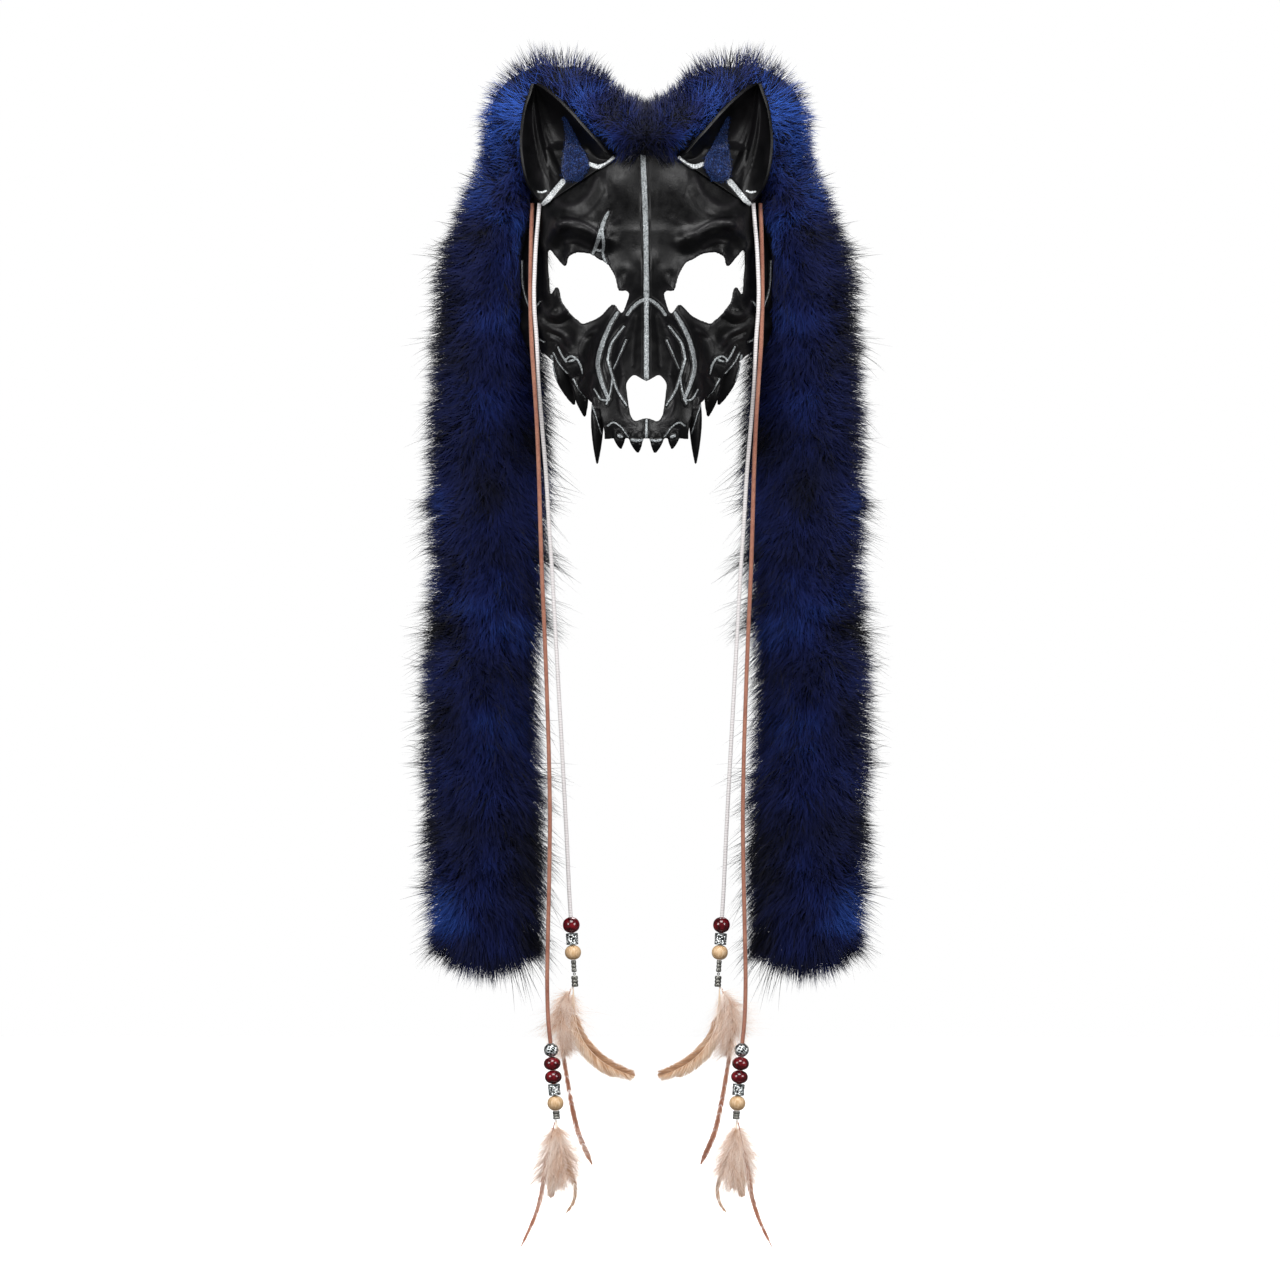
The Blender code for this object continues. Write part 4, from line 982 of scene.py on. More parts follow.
# %% Cords
WHITE_THICK = 0.0030
BROWN_THICK = 0.0032
WHITE_ROUTE = [
    (0.0804, 0.0262, 0.0210), (0.0817, 0.0262, 0.0045), (0.0830, 0.0260, -0.0100),
    (0.0840, 0.0257, -0.0300), (0.0845, 0.0252, -0.0450), (0.0841, 0.0249, -0.0600),
    (0.0826, 0.0257, -0.0800), (0.0812, 0.0274, -0.1120), (0.0786, 0.0292, -0.1450),
    (0.0757, 0.0308, -0.1800), (0.0736, 0.0319, -0.2150), (0.0713, 0.0326, -0.2500),
    (0.0685, 0.0332, -0.3000), (0.0656, 0.0335, -0.3520), (0.0627, 0.0335, -0.4050),
    (0.0598, 0.0335, -0.4600), (0.0579, 0.0335, -0.5000), (0.0569, 0.0335, -0.5160),
    (0.0559, 0.0335, -0.5320), (0.0549, 0.0335, -0.5481),
]
BROWN_ROUTE = [
    (0.0856, 0.0306, 0.0210), (0.0864, 0.0298, 0.0045), (0.0869, 0.0291, -0.0150),
    (0.0872, 0.0283, -0.0350), (0.0873, 0.0275, -0.0500), (0.0870, 0.0267, -0.0650),
    (0.0863, 0.0258, -0.0850), (0.0844, 0.0245, -0.1120), (0.0825, 0.0232, -0.1420),
    (0.0809, 0.0218, -0.1800), (0.0799, 0.0207, -0.2150), (0.0788, 0.0198, -0.2500),
    (0.0766, 0.0189, -0.3000), (0.0746, 0.0182, -0.3520), (0.0731, 0.0180, -0.4000),
    (0.0725, 0.0180, -0.4400), (0.0729, 0.0180, -0.4800), (0.0740, 0.0180, -0.5300),
    (0.0745, 0.0180, -0.5700), (0.0736, 0.0180, -0.5950), (0.07187, 0.0180, -0.6120),
    (0.07057, 0.0180, -0.6280), (0.06928, 0.0180, -0.6440), (0.0679, 0.0180, -0.6610),
]
CORDS = {"white": (WHITE_ROUTE, WHITE_THICK), "brown": (BROWN_ROUTE, BROWN_THICK)}
CORD_POINTS = 90


def mirrored(route, sign):
    return [(sign * x, y, z) for x, y, z in route]


def white_cord(name):
    made = Finish(name, 0.75)
    weave = made.node("TexWave", Vector=made.place(), Scale=260.0, Distortion=1.5,
                      bands_direction="Z").outputs["Fac"]
    made.set("Base Color", made.ramp(weave, (0.0, "b9b3b3"), (0.5, "e6e1e1"), (1.0, "f4f1f1")))
    made.bump(weave, 0.0002, 0.5)
    return made.material


def suede(name):
    made = Finish(name, 0.9)
    nap = made.noise(0.0012, 4, 0.7)
    blotch = made.noise(0.014, 3)
    base = made.ramp(blotch, (0.35, "8a5443"), (0.65, "ab755f"))
    dark = made.ramp(nap, (0.35, "6d4035"), (0.60, "b37c66"))
    made.set("Base Color", made.mix(0.45, base, dark))
    made.set("Sheen Weight", 0.2)
    made.bump(nap, 0.0003, 0.6)
    return made.material


def make_cord(name, route, thick, material, slot):
    """The cord as a curve, and the length of its line."""
    points = on_route(route, CORD_POINTS)
    curve = bpy.data.curves.new(name, "CURVE")
    curve.dimensions = "3D"
    curve.bevel_depth = thick / 2
    curve.bevel_resolution = 4
    curve.use_fill_caps = True
    line = curve.splines.new("POLY")
    line.points.add(len(points) - 1)
    for spot, point in zip(line.points, points):
        spot.co = (*point, 1.0)
    curve.materials.append(material)
    piece = placed(name, curve)
    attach(piece, "root")
    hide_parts(name.replace("_line", ""))
    length = float(np.linalg.norm(np.diff(points, axis=0), axis=1).sum())
    print(name, round(length, 3), "m")
    return piece, length


cord_looks = {
    "white": (white_cord("woven_white_cord"), "white_cord"),
    "brown": (suede("brown_suede_lace"), "brown_suede"),
}
for side, sign in SIDES:
    for colour, (route, thick) in CORDS.items():
        name = f"cord_{colour}_{side}_line"
        make_cord(name, mirrored(route, sign), thick, *cord_looks[colour])

# %% [markdown]
# ## Beads, crimps and rings
#
# The beads are turned on a lathe in the real world, and here each is a profile spun round its
# cord. Red ones are glazed, pale ones are plain wood, and the metal ones are cast with raised
# scrolls, darkened in the hollows. The scrolls are real relief, pushed out of the spun surface.

# %% Beads and metal fittings
BORE_CLEAR = 0.0004
ROUND_BEAD, ROUND_HIGH, TOP_BEAD_HIGH = 0.0127, 0.0098, 0.0116
WOOD_BEAD, WOOD_HIGH = 0.0122, 0.0110
SILVER_BEAD, SILVER_HIGH = 0.0103, 0.0100
BARREL_BEAD, BARREL_HIGH = 0.0090, 0.0088
WHITE_CRIMP, BROWN_CRIMP, FEATHER_CRIMP = (0.0038, 0.0090), (0.0054, 0.0063), (0.0050, 0.0082)
LINK_WIDE, LINK_WIRE = 0.0023, 0.0007
BEAD_SIDES, FITTING_SIDES = 64, 28
SCROLL_RISE = 0.00035
CRIMP_GROOVES = (0.36, 0.66)


def ball_profile(wide, tall, bore, steps=22):
    """A drilled round bead: a flattened ball with a soft lip at each hole."""
    rows = [(bore, tall * 0.40)]
    for k in range(steps + 1):
        turn = math.pi * (0.5 - k / steps)
        bulge = abs(math.cos(turn)) ** 0.82
        rows.append((max(bore + 0.0002, wide / 2 * bulge), tall / 2 * math.sin(turn)))
    rows.append((bore, -tall * 0.40))
    return rows


def barrel_profile(wide, tall, bore, steps=28):
    """A cast barrel bead: straight sides, a raised band at each end and a slight waist."""
    rows = [(bore, tall * 0.46), (wide * 0.36, tall * 0.5), (wide * 0.47, tall * 0.48)]
    for k in range(steps + 1):
        share = 0.92 - 1.84 * k / steps
        band = 0.5 if abs(share) > 0.74 else 0.465 + 0.015 * abs(share)
        rows.append((wide * band, tall / 2 * share))
    rows += [(wide * 0.47, -tall * 0.48), (wide * 0.36, -tall * 0.5), (bore, -tall * 0.46)]
    return rows


def turn_round(bm, geometry, sides):
    """Turns lines right round the Z axis and welds the surface that they sweep."""
    bmesh.ops.spin(
        bm, geom=geometry, cent=(0, 0, 0), axis=(0, 0, 1), angle=2 * math.pi, steps=sides,
        use_merge=True,
    )
    bmesh.ops.remove_doubles(bm, verts=bm.verts[:], dist=1e-6)


def spun(profile, sides, closed=True):
    """A profile of radius and height turned on a lathe; a closed one leaves a bore."""
    bm = bmesh.new()
    verts = [bm.verts.new((radius, 0.0, height)) for radius, height in profile]
    after = verts[1:] + verts[:1] if closed else verts[1:]
    edges = [bm.edges.new(pair) for pair in zip(verts, after)]
    turn_round(bm, verts + edges, sides)
    return bm


def carve(bm, wide, tall, kind, seed):
    """Raises scrolls on a cast bead and keeps how deep each point lies."""
    layer = bm.verts.layers.float.new("carved")
    spots = np.array([v.co for v in bm.verts])
    turn = np.arctan2(spots[:, 1], spots[:, 0])
    level = spots[:, 2] / tall
    if kind == "silver":
        swirl = np.sin(turn * 8 + level * 10) * np.cos(level * 19 + np.sin(turn * 5) * 1.4)
    else:
        swirl = np.sin(turn * 8 + np.sin(level * 18) * 1.6)
        swirl *= np.cos(level * 24 + 1.3 * np.sin(turn * 5))
    raised = np.clip(swirl * 2.2 + 0.25 + 0.5 * (lumps(spots, 0.0009, seed) - 0.5), -1, 1)
    fade = np.clip((0.40 - np.abs(level)) / 0.08, 0, 1)
    radius = np.hypot(spots[:, 0], spots[:, 1])
    outer = (radius > wide * 0.3) * fade
    for vert, lift, span in zip(bm.verts, raised, outer):
        vert[layer] = 0.5 + 0.5 * lift * span
        away = Vector((vert.co.x, vert.co.y, 0)).normalized()
        vert.co += away * (SCROLL_RISE * lift * span)


def in_place(bm, down, point):
    """Turns a piece's lower side to the way down and moves it to a point."""
    turn = Vector((0, 0, -1)).rotation_difference(Vector(down)).to_matrix().to_4x4()
    bmesh.ops.transform(bm, matrix=Matrix.Translation(point) @ turn, verts=bm.verts[:])


def antique_silver(name):
    made = Finish(name, 0.34, 0.9)
    carved = made.attribute("carved")
    tarnish = made.noise(0.0012, 3)
    mixed = made.maths("ADD", carved, made.maths("MULTIPLY", tarnish, 0.30))
    made.set("Base Color", made.ramp(mixed, (0.54, "0b0c0d"), (0.66, "8d9596"), (0.80, "f0f4f4")))
    made.bump(made.noise(0.0005, 3), 0.0001, 0.6)
    return made.material


red = grained(
    "dark_red_glaze", 0.18, ((0.34, "240307"), (0.52, "5e0a13"), (0.68, "84161f")),
    (0.004, 4, 0.65), Coat_Weight=0.45, Coat_Roughness=0.05,
)
wood = grained(
    "pale_turned_wood", 0.45, ((0.32, "bd9766"), (0.5, "d6b187"), (0.66, "e6c9a2")),
    (0.0011, 4, 0.6), (1.0, 1.0, 0.22), 0.0001, Coat_Weight=0.15,
)
steel = grained(
    "dull_steel", 0.36, ((0.3, "5c5b56"), (0.55, "8b8a84"), (0.75, "c1c0ba")),
    (0.0006, 3, 0.6), (1.0, 1.0, 0.15), 0.0001, metallic=0.9,
)
silver = antique_silver("antique_cast_silver")
BEADS = {
    "red": ("red_gloss", red, ROUND_BEAD, ROUND_HIGH),
    "wood": ("pale_wood", wood, WOOD_BEAD, WOOD_HIGH),
    "silver": ("antique_silver", silver, SILVER_BEAD, SILVER_HIGH),
    "barrel": ("antique_silver", silver, BARREL_BEAD, BARREL_HIGH),
}


def thread(route, thick, kinds, side, counts):
    """Threads beads up from the cord's lower end; kinds may carry their own height."""
    end = Vector(route[-1])
    up = (Vector(route[-3]) - end).normalized()
    reach = 0.0
    pieces = []
    for kind, own_height in kinds:
        slot, material, wide, tall = BEADS[kind]
        tall = own_height or tall
        profile = barrel_profile if kind == "barrel" else ball_profile
        bm = spun(profile(wide, tall, thick / 2 + BORE_CLEAR), BEAD_SIDES)
        counts[kind] = counts.get(kind, 0) + 1
        if kind in ("silver", "barrel"):
            carve(bm, wide, tall, kind, counts[kind])
        bmesh.ops.rotate(bm, verts=bm.verts[:], matrix=Matrix.Rotation(counts[kind] * 1.3, 3, "Z"))
        in_place(bm, -up, end + up * (reach + tall / 2))
        node = f"bead_{kind}_{side}_{counts[kind]}"
        pieces.append(show(node + "_fine", mesh_from(bm, node, 50), material, [node]))
        reach += tall + SEAT_GAP
    return pieces


def make_crimp(name, size, top, down):
    """A folded steel cord end: a round tube, narrowed at its ends, with two pressed grooves."""
    wide, tall = size
    rows = [(0.0, 0.0)]
    for k in range(25):
        share = k / 24
        radius = wide / 2
        for groove in CRIMP_GROOVES:
            radius *= 1 - 0.16 * float(bell(share - groove, 0.06))
        radius *= 0.80 + 0.20 * min(1.0, min(share, 1 - share) / 0.08)
        rows.append((radius, -tall * share))
    rows.append((0.0, -tall))
    bm = spun(rows, FITTING_SIDES, closed=False)
    in_place(bm, down, top)
    piece = show(name + "_fine", mesh_from(bm, name, 45), steel, [name])
    return piece, top + down * (tall + SEAT_GAP)


def make_link(name, top, down):
    """A small ring of round wire, hanging edge on."""
    bm = bmesh.new()
    bmesh.ops.create_circle(bm, segments=12, radius=LINK_WIRE / 2)
    bmesh.ops.rotate(bm, verts=bm.verts[:], matrix=Matrix.Rotation(math.pi / 2, 3, "X"))
    bmesh.ops.translate(bm, verts=bm.verts[:], vec=((LINK_WIDE - LINK_WIRE) / 2, 0, 0))
    turn_round(bm, bm.verts[:] + bm.edges[:], FITTING_SIDES)
    bmesh.ops.rotate(bm, verts=bm.verts[:], matrix=Matrix.Rotation(math.pi / 2, 3, "X"))
    in_place(bm, down, top + down * LINK_WIDE / 2)
    piece = show(name + "_fine", mesh_from(bm, name), steel, [name])
    return piece, top + down * (LINK_WIDE + SEAT_GAP)


# Cord: its beads from the lower end up, each with its own height or none; then its crimps down
STRINGS = {
    "white": ([("wood", None), ("barrel", None), ("red", TOP_BEAD_HIGH)],
              [(1, WHITE_CRIMP), (2, FEATHER_CRIMP)]),
    "brown": ([("wood", None), ("barrel", None), ("red", None), ("red", None), ("silver", None)],
              [(3, BROWN_CRIMP)]),
}
threaded, plume_tops = {}, {}
for side, sign in SIDES:
    counts = {}
    for colour, (kinds, crimps) in STRINGS.items():
        route, thick = CORDS[colour]
        route = mirrored(route, sign)
        pieces = thread(route, thick, kinds, side, counts)
        down = (Vector(route[-1]) - Vector(route[-3])).normalized()
        spot = Vector(route[-1]) + down * SEAT_GAP
        for number, size in crimps:
            if number == 2:
                link, spot = make_link("ring_" + side, spot, down)
                pieces.append(link)
            crimp, spot = make_crimp(f"crimp_{side}_{number}", size, spot, down)
            pieces.append(crimp)
        threaded[colour, side] = pieces
        plume_tops[colour, side] = spot

# %% [markdown]
# ## Feathers
#
# Each bundle is a handful of separate feathers held by one clamp. A feather is a thin tapering
# shaft with barbs on both sides. Downy ones have long, loose, wandering barbs, and vaned ones have
# short barbs that lie close together and make a blade.

# %% Feathers
# Kind, depth off the bundle, barb length at start, middle and end, barbs a side, points x and z
# in mm, mirrored for the left
WHITE_FEATHERS = [
    ("down", 0.0, 5.0, 17.0, 9.0, 720,
     [(56, -568.5), (60, -582), (64, -597), (63, -611), (60, -620)]),
    ("down", 2.2, 4.0, 14.0, 8.0, 560, [(55, -568.5), (56, -584), (57, -600), (58, -616)]),
    ("down", -2.0, 4.0, 14.0, 8.0, 560, [(55, -568.5), (62, -577), (66, -588), (67, -602)]),
    ("tan", -1.4, 4.0, 11.0, 7.0, 620,
     [(55, -570), (54, -586), (51.5, -601), (44.5, -613.5), (33.5, -624.5), (21, -631.5),
      (9.5, -635.5)]),
    ("tan", -0.4, 3.0, 7.0, 4.0, 320,
     [(55, -572), (55.5, -590), (52.5, -607), (44, -620), (33, -630), (23, -636)]),
    ("rust", 1.6, 2.0, 3.6, 4.6, 520,
     [(57, -570), (61.5, -590), (63.6, -612), (61.1, -629), (56.4, -656), (51.6, -677),
      (41, -702)]),
]
BROWN_FEATHERS = [
    ("down", 0.0, 6.0, 25.0, 14.0, 820, [(68, -668), (67, -686), (66, -702), (65, -719)]),
    ("down", 2.4, 5.0, 23.0, 13.0, 680, [(68.4, -668), (72, -684), (76, -700), (79, -715)]),
    ("down", -2.2, 5.0, 20.0, 11.0, 680, [(67.6, -668), (64, -684), (60, -698), (57, -711)]),
    ("rust", -2.6, 3.0, 3.8, 1.8, 420,
     [(69, -670), (74, -694), (77, -712), (79.4, -726), (83.6, -740), (89, -752.5), (94.6, -764)]),
    ("tan", 1.2, 2.0, 4.0, 2.2, 260,
     [(67, -672), (61, -694), (56.2, -709.5), (53.4, -720.5), (55.0, -730), (60.6, -738.5)]),
    ("tan", -1.2, 3.0, 8.0, 4.0, 360, [(68, -670), (68, -692), (70, -708), (72, -726)]),
]
SHAFT_THICK = 0.0009
SHAFT_POINTS = 40
BARB_LIMIT = 0.0185
DOWN_WIDE, VANE_WIDE = 0.00013, 0.00040
# Low, middle and top colour, roughness
FEATHER_COLOURS = {
    "down": ("b98459", "ecd0bb", "fdf4ec", 0.8),
    "tan": ("94684a", "c89a76", "f0dcc4", 0.6),
    "rust": ("824e3a", "b0745a", "d3a58c", 0.6),
}


def shaft(line, wide):
    """A thin tapering shaft as a closed tube of six sides."""
    bm = bmesh.new()
    rings = []
    for k, centre in enumerate(line):
        run = unit(line[min(k + 1, len(line) - 1)] - line[max(k - 1, 0)])
        side = unit(np.cross(run, (0, 1, 0)))
        through = np.cross(side, run)
        radius = wide / 2 * (1 - 0.85 * k / (len(line) - 1))
        rings.append([
            bm.verts.new(centre + radius * (side * math.cos(a) + through * math.sin(a)))
            for a in np.arange(6) * math.pi / 3
        ])
    for low, top in zip(rings, rings[1:]):
        for k in range(6):
            bm.faces.new((low[k - 1], low[k], top[k], top[k - 1]))
    bm.faces.new(rings[0])
    bm.faces.new(rings[-1][::-1])
    return bm


def make_feather(name, row, sign, depth, rng):
    """A feather's barbs, its shaft and the line that the shaft follows."""
    kind, off, start, middle, end, count, points = row
    line = np.array([(sign * x * MM, depth + off * MM * k / (len(points) - 1), z * MM)
                     for k, (x, z) in enumerate(points)])
    line = on_route(line, SHAFT_POINTS)
    quill = mesh_from(shaft(line, SHAFT_THICK * (0.8 if kind == "down" else 1.0)), name + "_shaft")
    at = np.sort(rng.uniform(0.12 if kind == "down" else 0.22, 1.0, count))
    spots = smooth_rows(np.linspace(0, 1, SHAFT_POINTS), line, at)
    runs = unit(smooth_rows(np.linspace(0, 1, SHAFT_POINTS), np.gradient(line, axis=0), at))
    reach = smooth_rows([0.0, 0.55, 1.0], [[start], [middle], [end]], at)[:, 0] * MM
    reach *= np.clip((1.02 - at) / 0.10, 0.15, 1)
    lines, faces, tones = [], [], []
    for way in (-1, 1):
        side = unit(np.cross(runs, (0, 1, 0))) * way
        wander = rng.normal(0, 1, spots.shape)
        if kind == "down":
            tuft = np.stack([lumps(spots + way, 0.004, k) - 0.5 for k in (61, 62, 63)], axis=1)
            out = unit(side * 0.9 + runs * 0.75 + tuft * 0.9 + wander * np.array([0.42, 0.5, 0.42]))
            long = reach * (0.15 + 1.7 * rng.beta(1.7, 2.2, count))
            long *= 0.75 + 0.5 * lumps(spots + way, 0.005, 64)
            long = np.minimum(long, BARB_LIMIT)
            sag, curl = 0.34, 0.42
        else:
            out = unit(side * 0.62 + runs * 0.9 + wander * np.array([0.05, 0.10, 0.05]))
            long = reach * rng.uniform(0.88, 1.04, count)
            sag, curl = 0.10, 0.02
        bend = runs * sag + wander[:, [2, 0, 1]] * curl
        steps = np.array([0.0, 0.35, 0.7, 1.0])
        path = out[:, None] * steps[:, None] + bend[:, None] * (steps**2)[:, None]
        lines.append(spots[:, None] + path * long[:, None, None])
        tilt = wander * (0.5 if kind == "down" else 0.12)
        faces.append(np.tile([0.0, -1.0, 0.0], (count, 1)) + tilt)
        own = rng.normal(0.55, 0.20, (count, 1))
        own += (lumps(spots, 0.004, 60)[:, None] - 0.5) * (1.0 if kind == "down" else 0.25)
        own -= 0.30 * np.clip(at - 0.55, 0, 1)[:, None]
        own += 0.16 * way * sign * (kind == "tan")
        tones.append(np.clip(own + np.array([[-0.25, 0.0, 0.12, 0.25]]), 0, 1))
    wide = np.full(2 * count, DOWN_WIDE if kind == "down" else VANE_WIDE)
    barbs = ribbons(name, np.concatenate(lines), wide, *map(np.concatenate, (faces, tones)))
    return barbs, quill, line


def join_meshes(name, meshes):
    """One mesh from several, keeping their tone values."""
    bm = bmesh.new()
    for mesh in meshes:
        bm.from_mesh(mesh)
    for mesh in meshes:
        bpy.data.meshes.remove(mesh)
    joined = plain_mesh(bm, name)
    joined.shade_smooth()
    return joined


feather_materials = {
    kind: fibre_colour(kind + "_feather", low, mid, top, rough, 0.15)
    for kind, (low, mid, top, rough) in FEATHER_COLOURS.items()
}
rng = np.random.default_rng(47)
shafts, on_shaft = {}, {}
for side, sign in SIDES:
    for colour, rows in (("white", WHITE_FEATHERS), ("brown", BROWN_FEATHERS)):
        depth = plume_tops[colour, side].y
        parts = {}
        for k, row in enumerate(rows):
            kind = row[0]
            barbs, quill, line = make_feather(f"feather_{k}", row, sign, depth, rng)
            keep_values(quill, "tone", np.full(len(quill.vertices), 0.4 if kind == "rust" else 0.9))
            parts.setdefault(kind, []).append(barbs)
            if kind == "rust":
                name = f"long_shaft_{colour}_{side}"
                quill.name = name
                piece = show(name, quill, feather_materials[kind], ())
                shafts[colour, side] = piece, line
            else:
                parts[kind].append(quill)
        pieces = []
        for kind, meshes in parts.items():
            nodes = [f"plume_{colour}_{side}"] if kind == "down" else []
            name = f"{kind}_feathers_{colour}_{side}"
            mesh = join_meshes(name, meshes)
            pieces.append(show(name, mesh, feather_materials[kind], nodes))
        on_shaft[colour, side] = pieces

# %% [markdown]
# What is threaded on each cord is gathered with it. The shaft of the longest feather of a bundle,
# which hangs from the clamp, is kept as a piece of its own.

# %% [markdown]
# ## The fur
#
# The fur is a strip with deep pile that arches over each ear and hangs as a long tail. Under it
# lies a slightly smaller body, the knitted backing, coloured near black as painted shade deep in
# the pile. Strands grow out of that body: soft blue ones lean down the tail in tufts, and longer
# black guard hairs stick out in patches. The tufts come from smooth random fields, so neighbours
# lean together.

# %% Fur sections
FUR_REACH = 0.166
FUR_DROP = 0.566
FUR_BACK = 0.072
FUR_WIDE = 0.088
FUR_DEEP = 0.056
FUR_PART = 0.0008
FUR_CROSS = 0.007
FUR_LIMIT = 0.188
FUR_STOP = 0.952
BACKING_STOP = 0.95
EYE_CLEAR = 0.068
MIDDLE_GAP = 0.00001
ARCH_END, ARCH_FADE = 0.28, 0.1
FRONT_SHARE = 0.76
GUARD_EDGE, GUARD_OUTER = 0.72, 0.55
EYE_MIDDLE, EYE_HALF, EYE_THIN = -0.042, 0.045, 0.93
# x, z, y, half width, half depth
FUR_SECTIONS = [
    (0.000, 0.124, 0.33, 0.25, 0.56),
    (0.116, 0.132, 0.33, 0.28, 0.58),
    (0.250, 0.146, 0.53, 0.36, 0.56),
    (0.385, 0.164, 0.66, 0.42, 0.57),
    (0.505, 0.150, 0.75, 0.41, 0.59),
    (0.560, 0.097, 0.80, 0.33, 0.58),
    (0.626, 0.039, 0.82, 0.34, 0.57),
    (0.692, -0.034, 0.88, 0.40, 0.55),
    (0.712, -0.130, 0.94, 0.43, 0.52),
    (0.707, -0.230, 0.99, 0.47, 0.50),
    (0.705, -0.350, 1.00, 0.48, 0.50),
    (0.718, -0.490, 1.00, 0.44, 0.48),
    (0.748, -0.620, 1.00, 0.45, 0.50),
    (0.735, -0.755, 1.00, 0.47, 0.50),
    (0.722, -0.885, 1.00, 0.47, 0.50),
    (0.722, -0.955, 1.00, 0.40, 0.42),
    (0.722, -1.000, 1.00, 0.22, 0.22),
]
# Share along the strip with the strands' relative length, and with their relative brightness, which
# is painted light and shade: bright on the arch, darker down the tail, lighter again at its end
FUR_LENGTHS = [
    (0.0, 0.65), (0.10, 0.65), (0.16, 0.9), (0.21, 1.1), (0.25, 0.85), (0.31, 0.6), (0.38, 0.75),
    (0.45, 1.0), (1.0, 1.0),
]
FUR_PAINTED_LIGHT = [
    (0.0, 1.5), (0.10, 1.75), (0.25, 1.8), (0.36, 1.35), (0.46, 0.85), (0.80, 0.88), (0.90, 1.25),
    (1.0, 1.9),
]


def fur_rows(at):
    """Middle, half width and half depth of the strip at shares along it."""
    rows = smooth_rows(np.linspace(0, 1, len(FUR_SECTIONS)), FUR_SECTIONS, at)
    size = np.array([FUR_REACH - FUR_PART, FUR_DROP, FUR_BACK, FUR_WIDE, FUR_DEEP])
    rows = rows * size
    rows[:, 0] += FUR_PART
    return rows


def fur_points(at, turn, shrink):
    """Points of the right strip's surface, with the way out and the way down the strip."""
    rows = fur_rows(at)
    run = fur_rows(np.minimum(at + 0.01, 1)) - fur_rows(np.maximum(at - 0.01, 0))
    run = unit(np.stack([run[:, 0], 0 * at, np.where(at > 0, run[:, 1], 0.0)], axis=1))
    across = np.stack([run[:, 2], 0 * at, -run[:, 0]], axis=1)
    back = np.array([0.0, 1.0, 0.0])
    c, s = np.cos(turn)[:, None], np.sin(turn)[:, None]
    wide, deep = rows[:, 3:4], rows[:, 4:5]
    centre = rows[:, [0, 2, 1]]
    spot = centre + shrink[:, None] * (across * wide * c + back * deep * s)
    out = unit(across * c / wide + back * s / deep)
    return spot, out, run


NO_HIT = -1.0
RAY_START = -0.3
ROOT_GAP = 0.0022
STRAND_GAP = 0.001


def surface(name):
    return BVHTree.FromObject(bpy.data.objects[name], bpy.context.evaluated_depsgraph_get())


def front_of(tree, spots):
    """Y of a surface seen from the front at each spot, or NO_HIT where there is none."""
    ahead = Vector((0, 1, 0))
    hits = [tree.ray_cast(Vector((x, RAY_START, z)), ahead)[0] for x, _, z in spots]
    return np.array([NO_HIT if hit is None else hit.y for hit in hits])


shell_tree = surface("mask_shell_fine")
ear_trees = {side: surface("ear_fine_" + side) for side, _ in SIDES}


def set_behind(spots, side):
    """Moves points back until they lie behind the shell and the ear."""
    ears, shell = front_of(ear_trees[side], spots), front_of(shell_tree, spots)
    over_crown = (spots[:, 1] < shell) & (np.abs(spots[:, 0]) < 0.034) & (spots[:, 2] > 0.047)
    wall = np.maximum(ears, np.where(over_crown, NO_HIT, shell))
    need = np.where(wall > NO_HIT, wall + EAR_WALL + ROOT_GAP, NO_HIT)
    spots[:, 1] = np.maximum(spots[:, 1], need)


def arched(at):
    """1 on the arch over the ear and 0 on the hanging tail."""
    return 1 - np.clip((at - ARCH_END) / ARCH_FADE, 0, 1)


def fur_body(side, sign, rings=96, sides=36):
    """The dark body under the strands, as a closed tube of rings."""
    at = np.repeat(np.linspace(0, BACKING_STOP, rings), sides)
    turn = np.tile(np.arange(sides) * 2 * math.pi / sides, rings)
    round_end = np.sqrt(np.clip((BACKING_STOP + 0.004 - at) / 0.06, 0, 1))
    shrink = (0.78 + (0.08 + 0.05 * arched(at)) * np.cos(turn) ** 2) * round_end
    spot, out, _ = fur_points(at, turn, shrink)
    spot += out * ((lumps(spot, 0.016, 51) - 0.5) * 0.006)[:, None]
    spot[:, 0] = np.maximum(spot[:, 0], MIDDLE_GAP)
    spot[:sides, 0] = MIDDLE_GAP
    spot *= np.array([sign, 1, 1])
    set_behind(spot, side)
    bm = bmesh.new()
    verts = [bm.verts.new(p) for p in spot]
    for k in range(rings - 1):
        for j in range(sides):
            a, b = k * sides + j, k * sides + (j + 1) % sides
            bm.faces.new((verts[a], verts[b], verts[b + sides], verts[a + sides]))
    bm.faces.new(verts[:sides][::-1])
    bm.faces.new(verts[-sides:])
    return mesh_from(bm, "fur_backing_" + side)


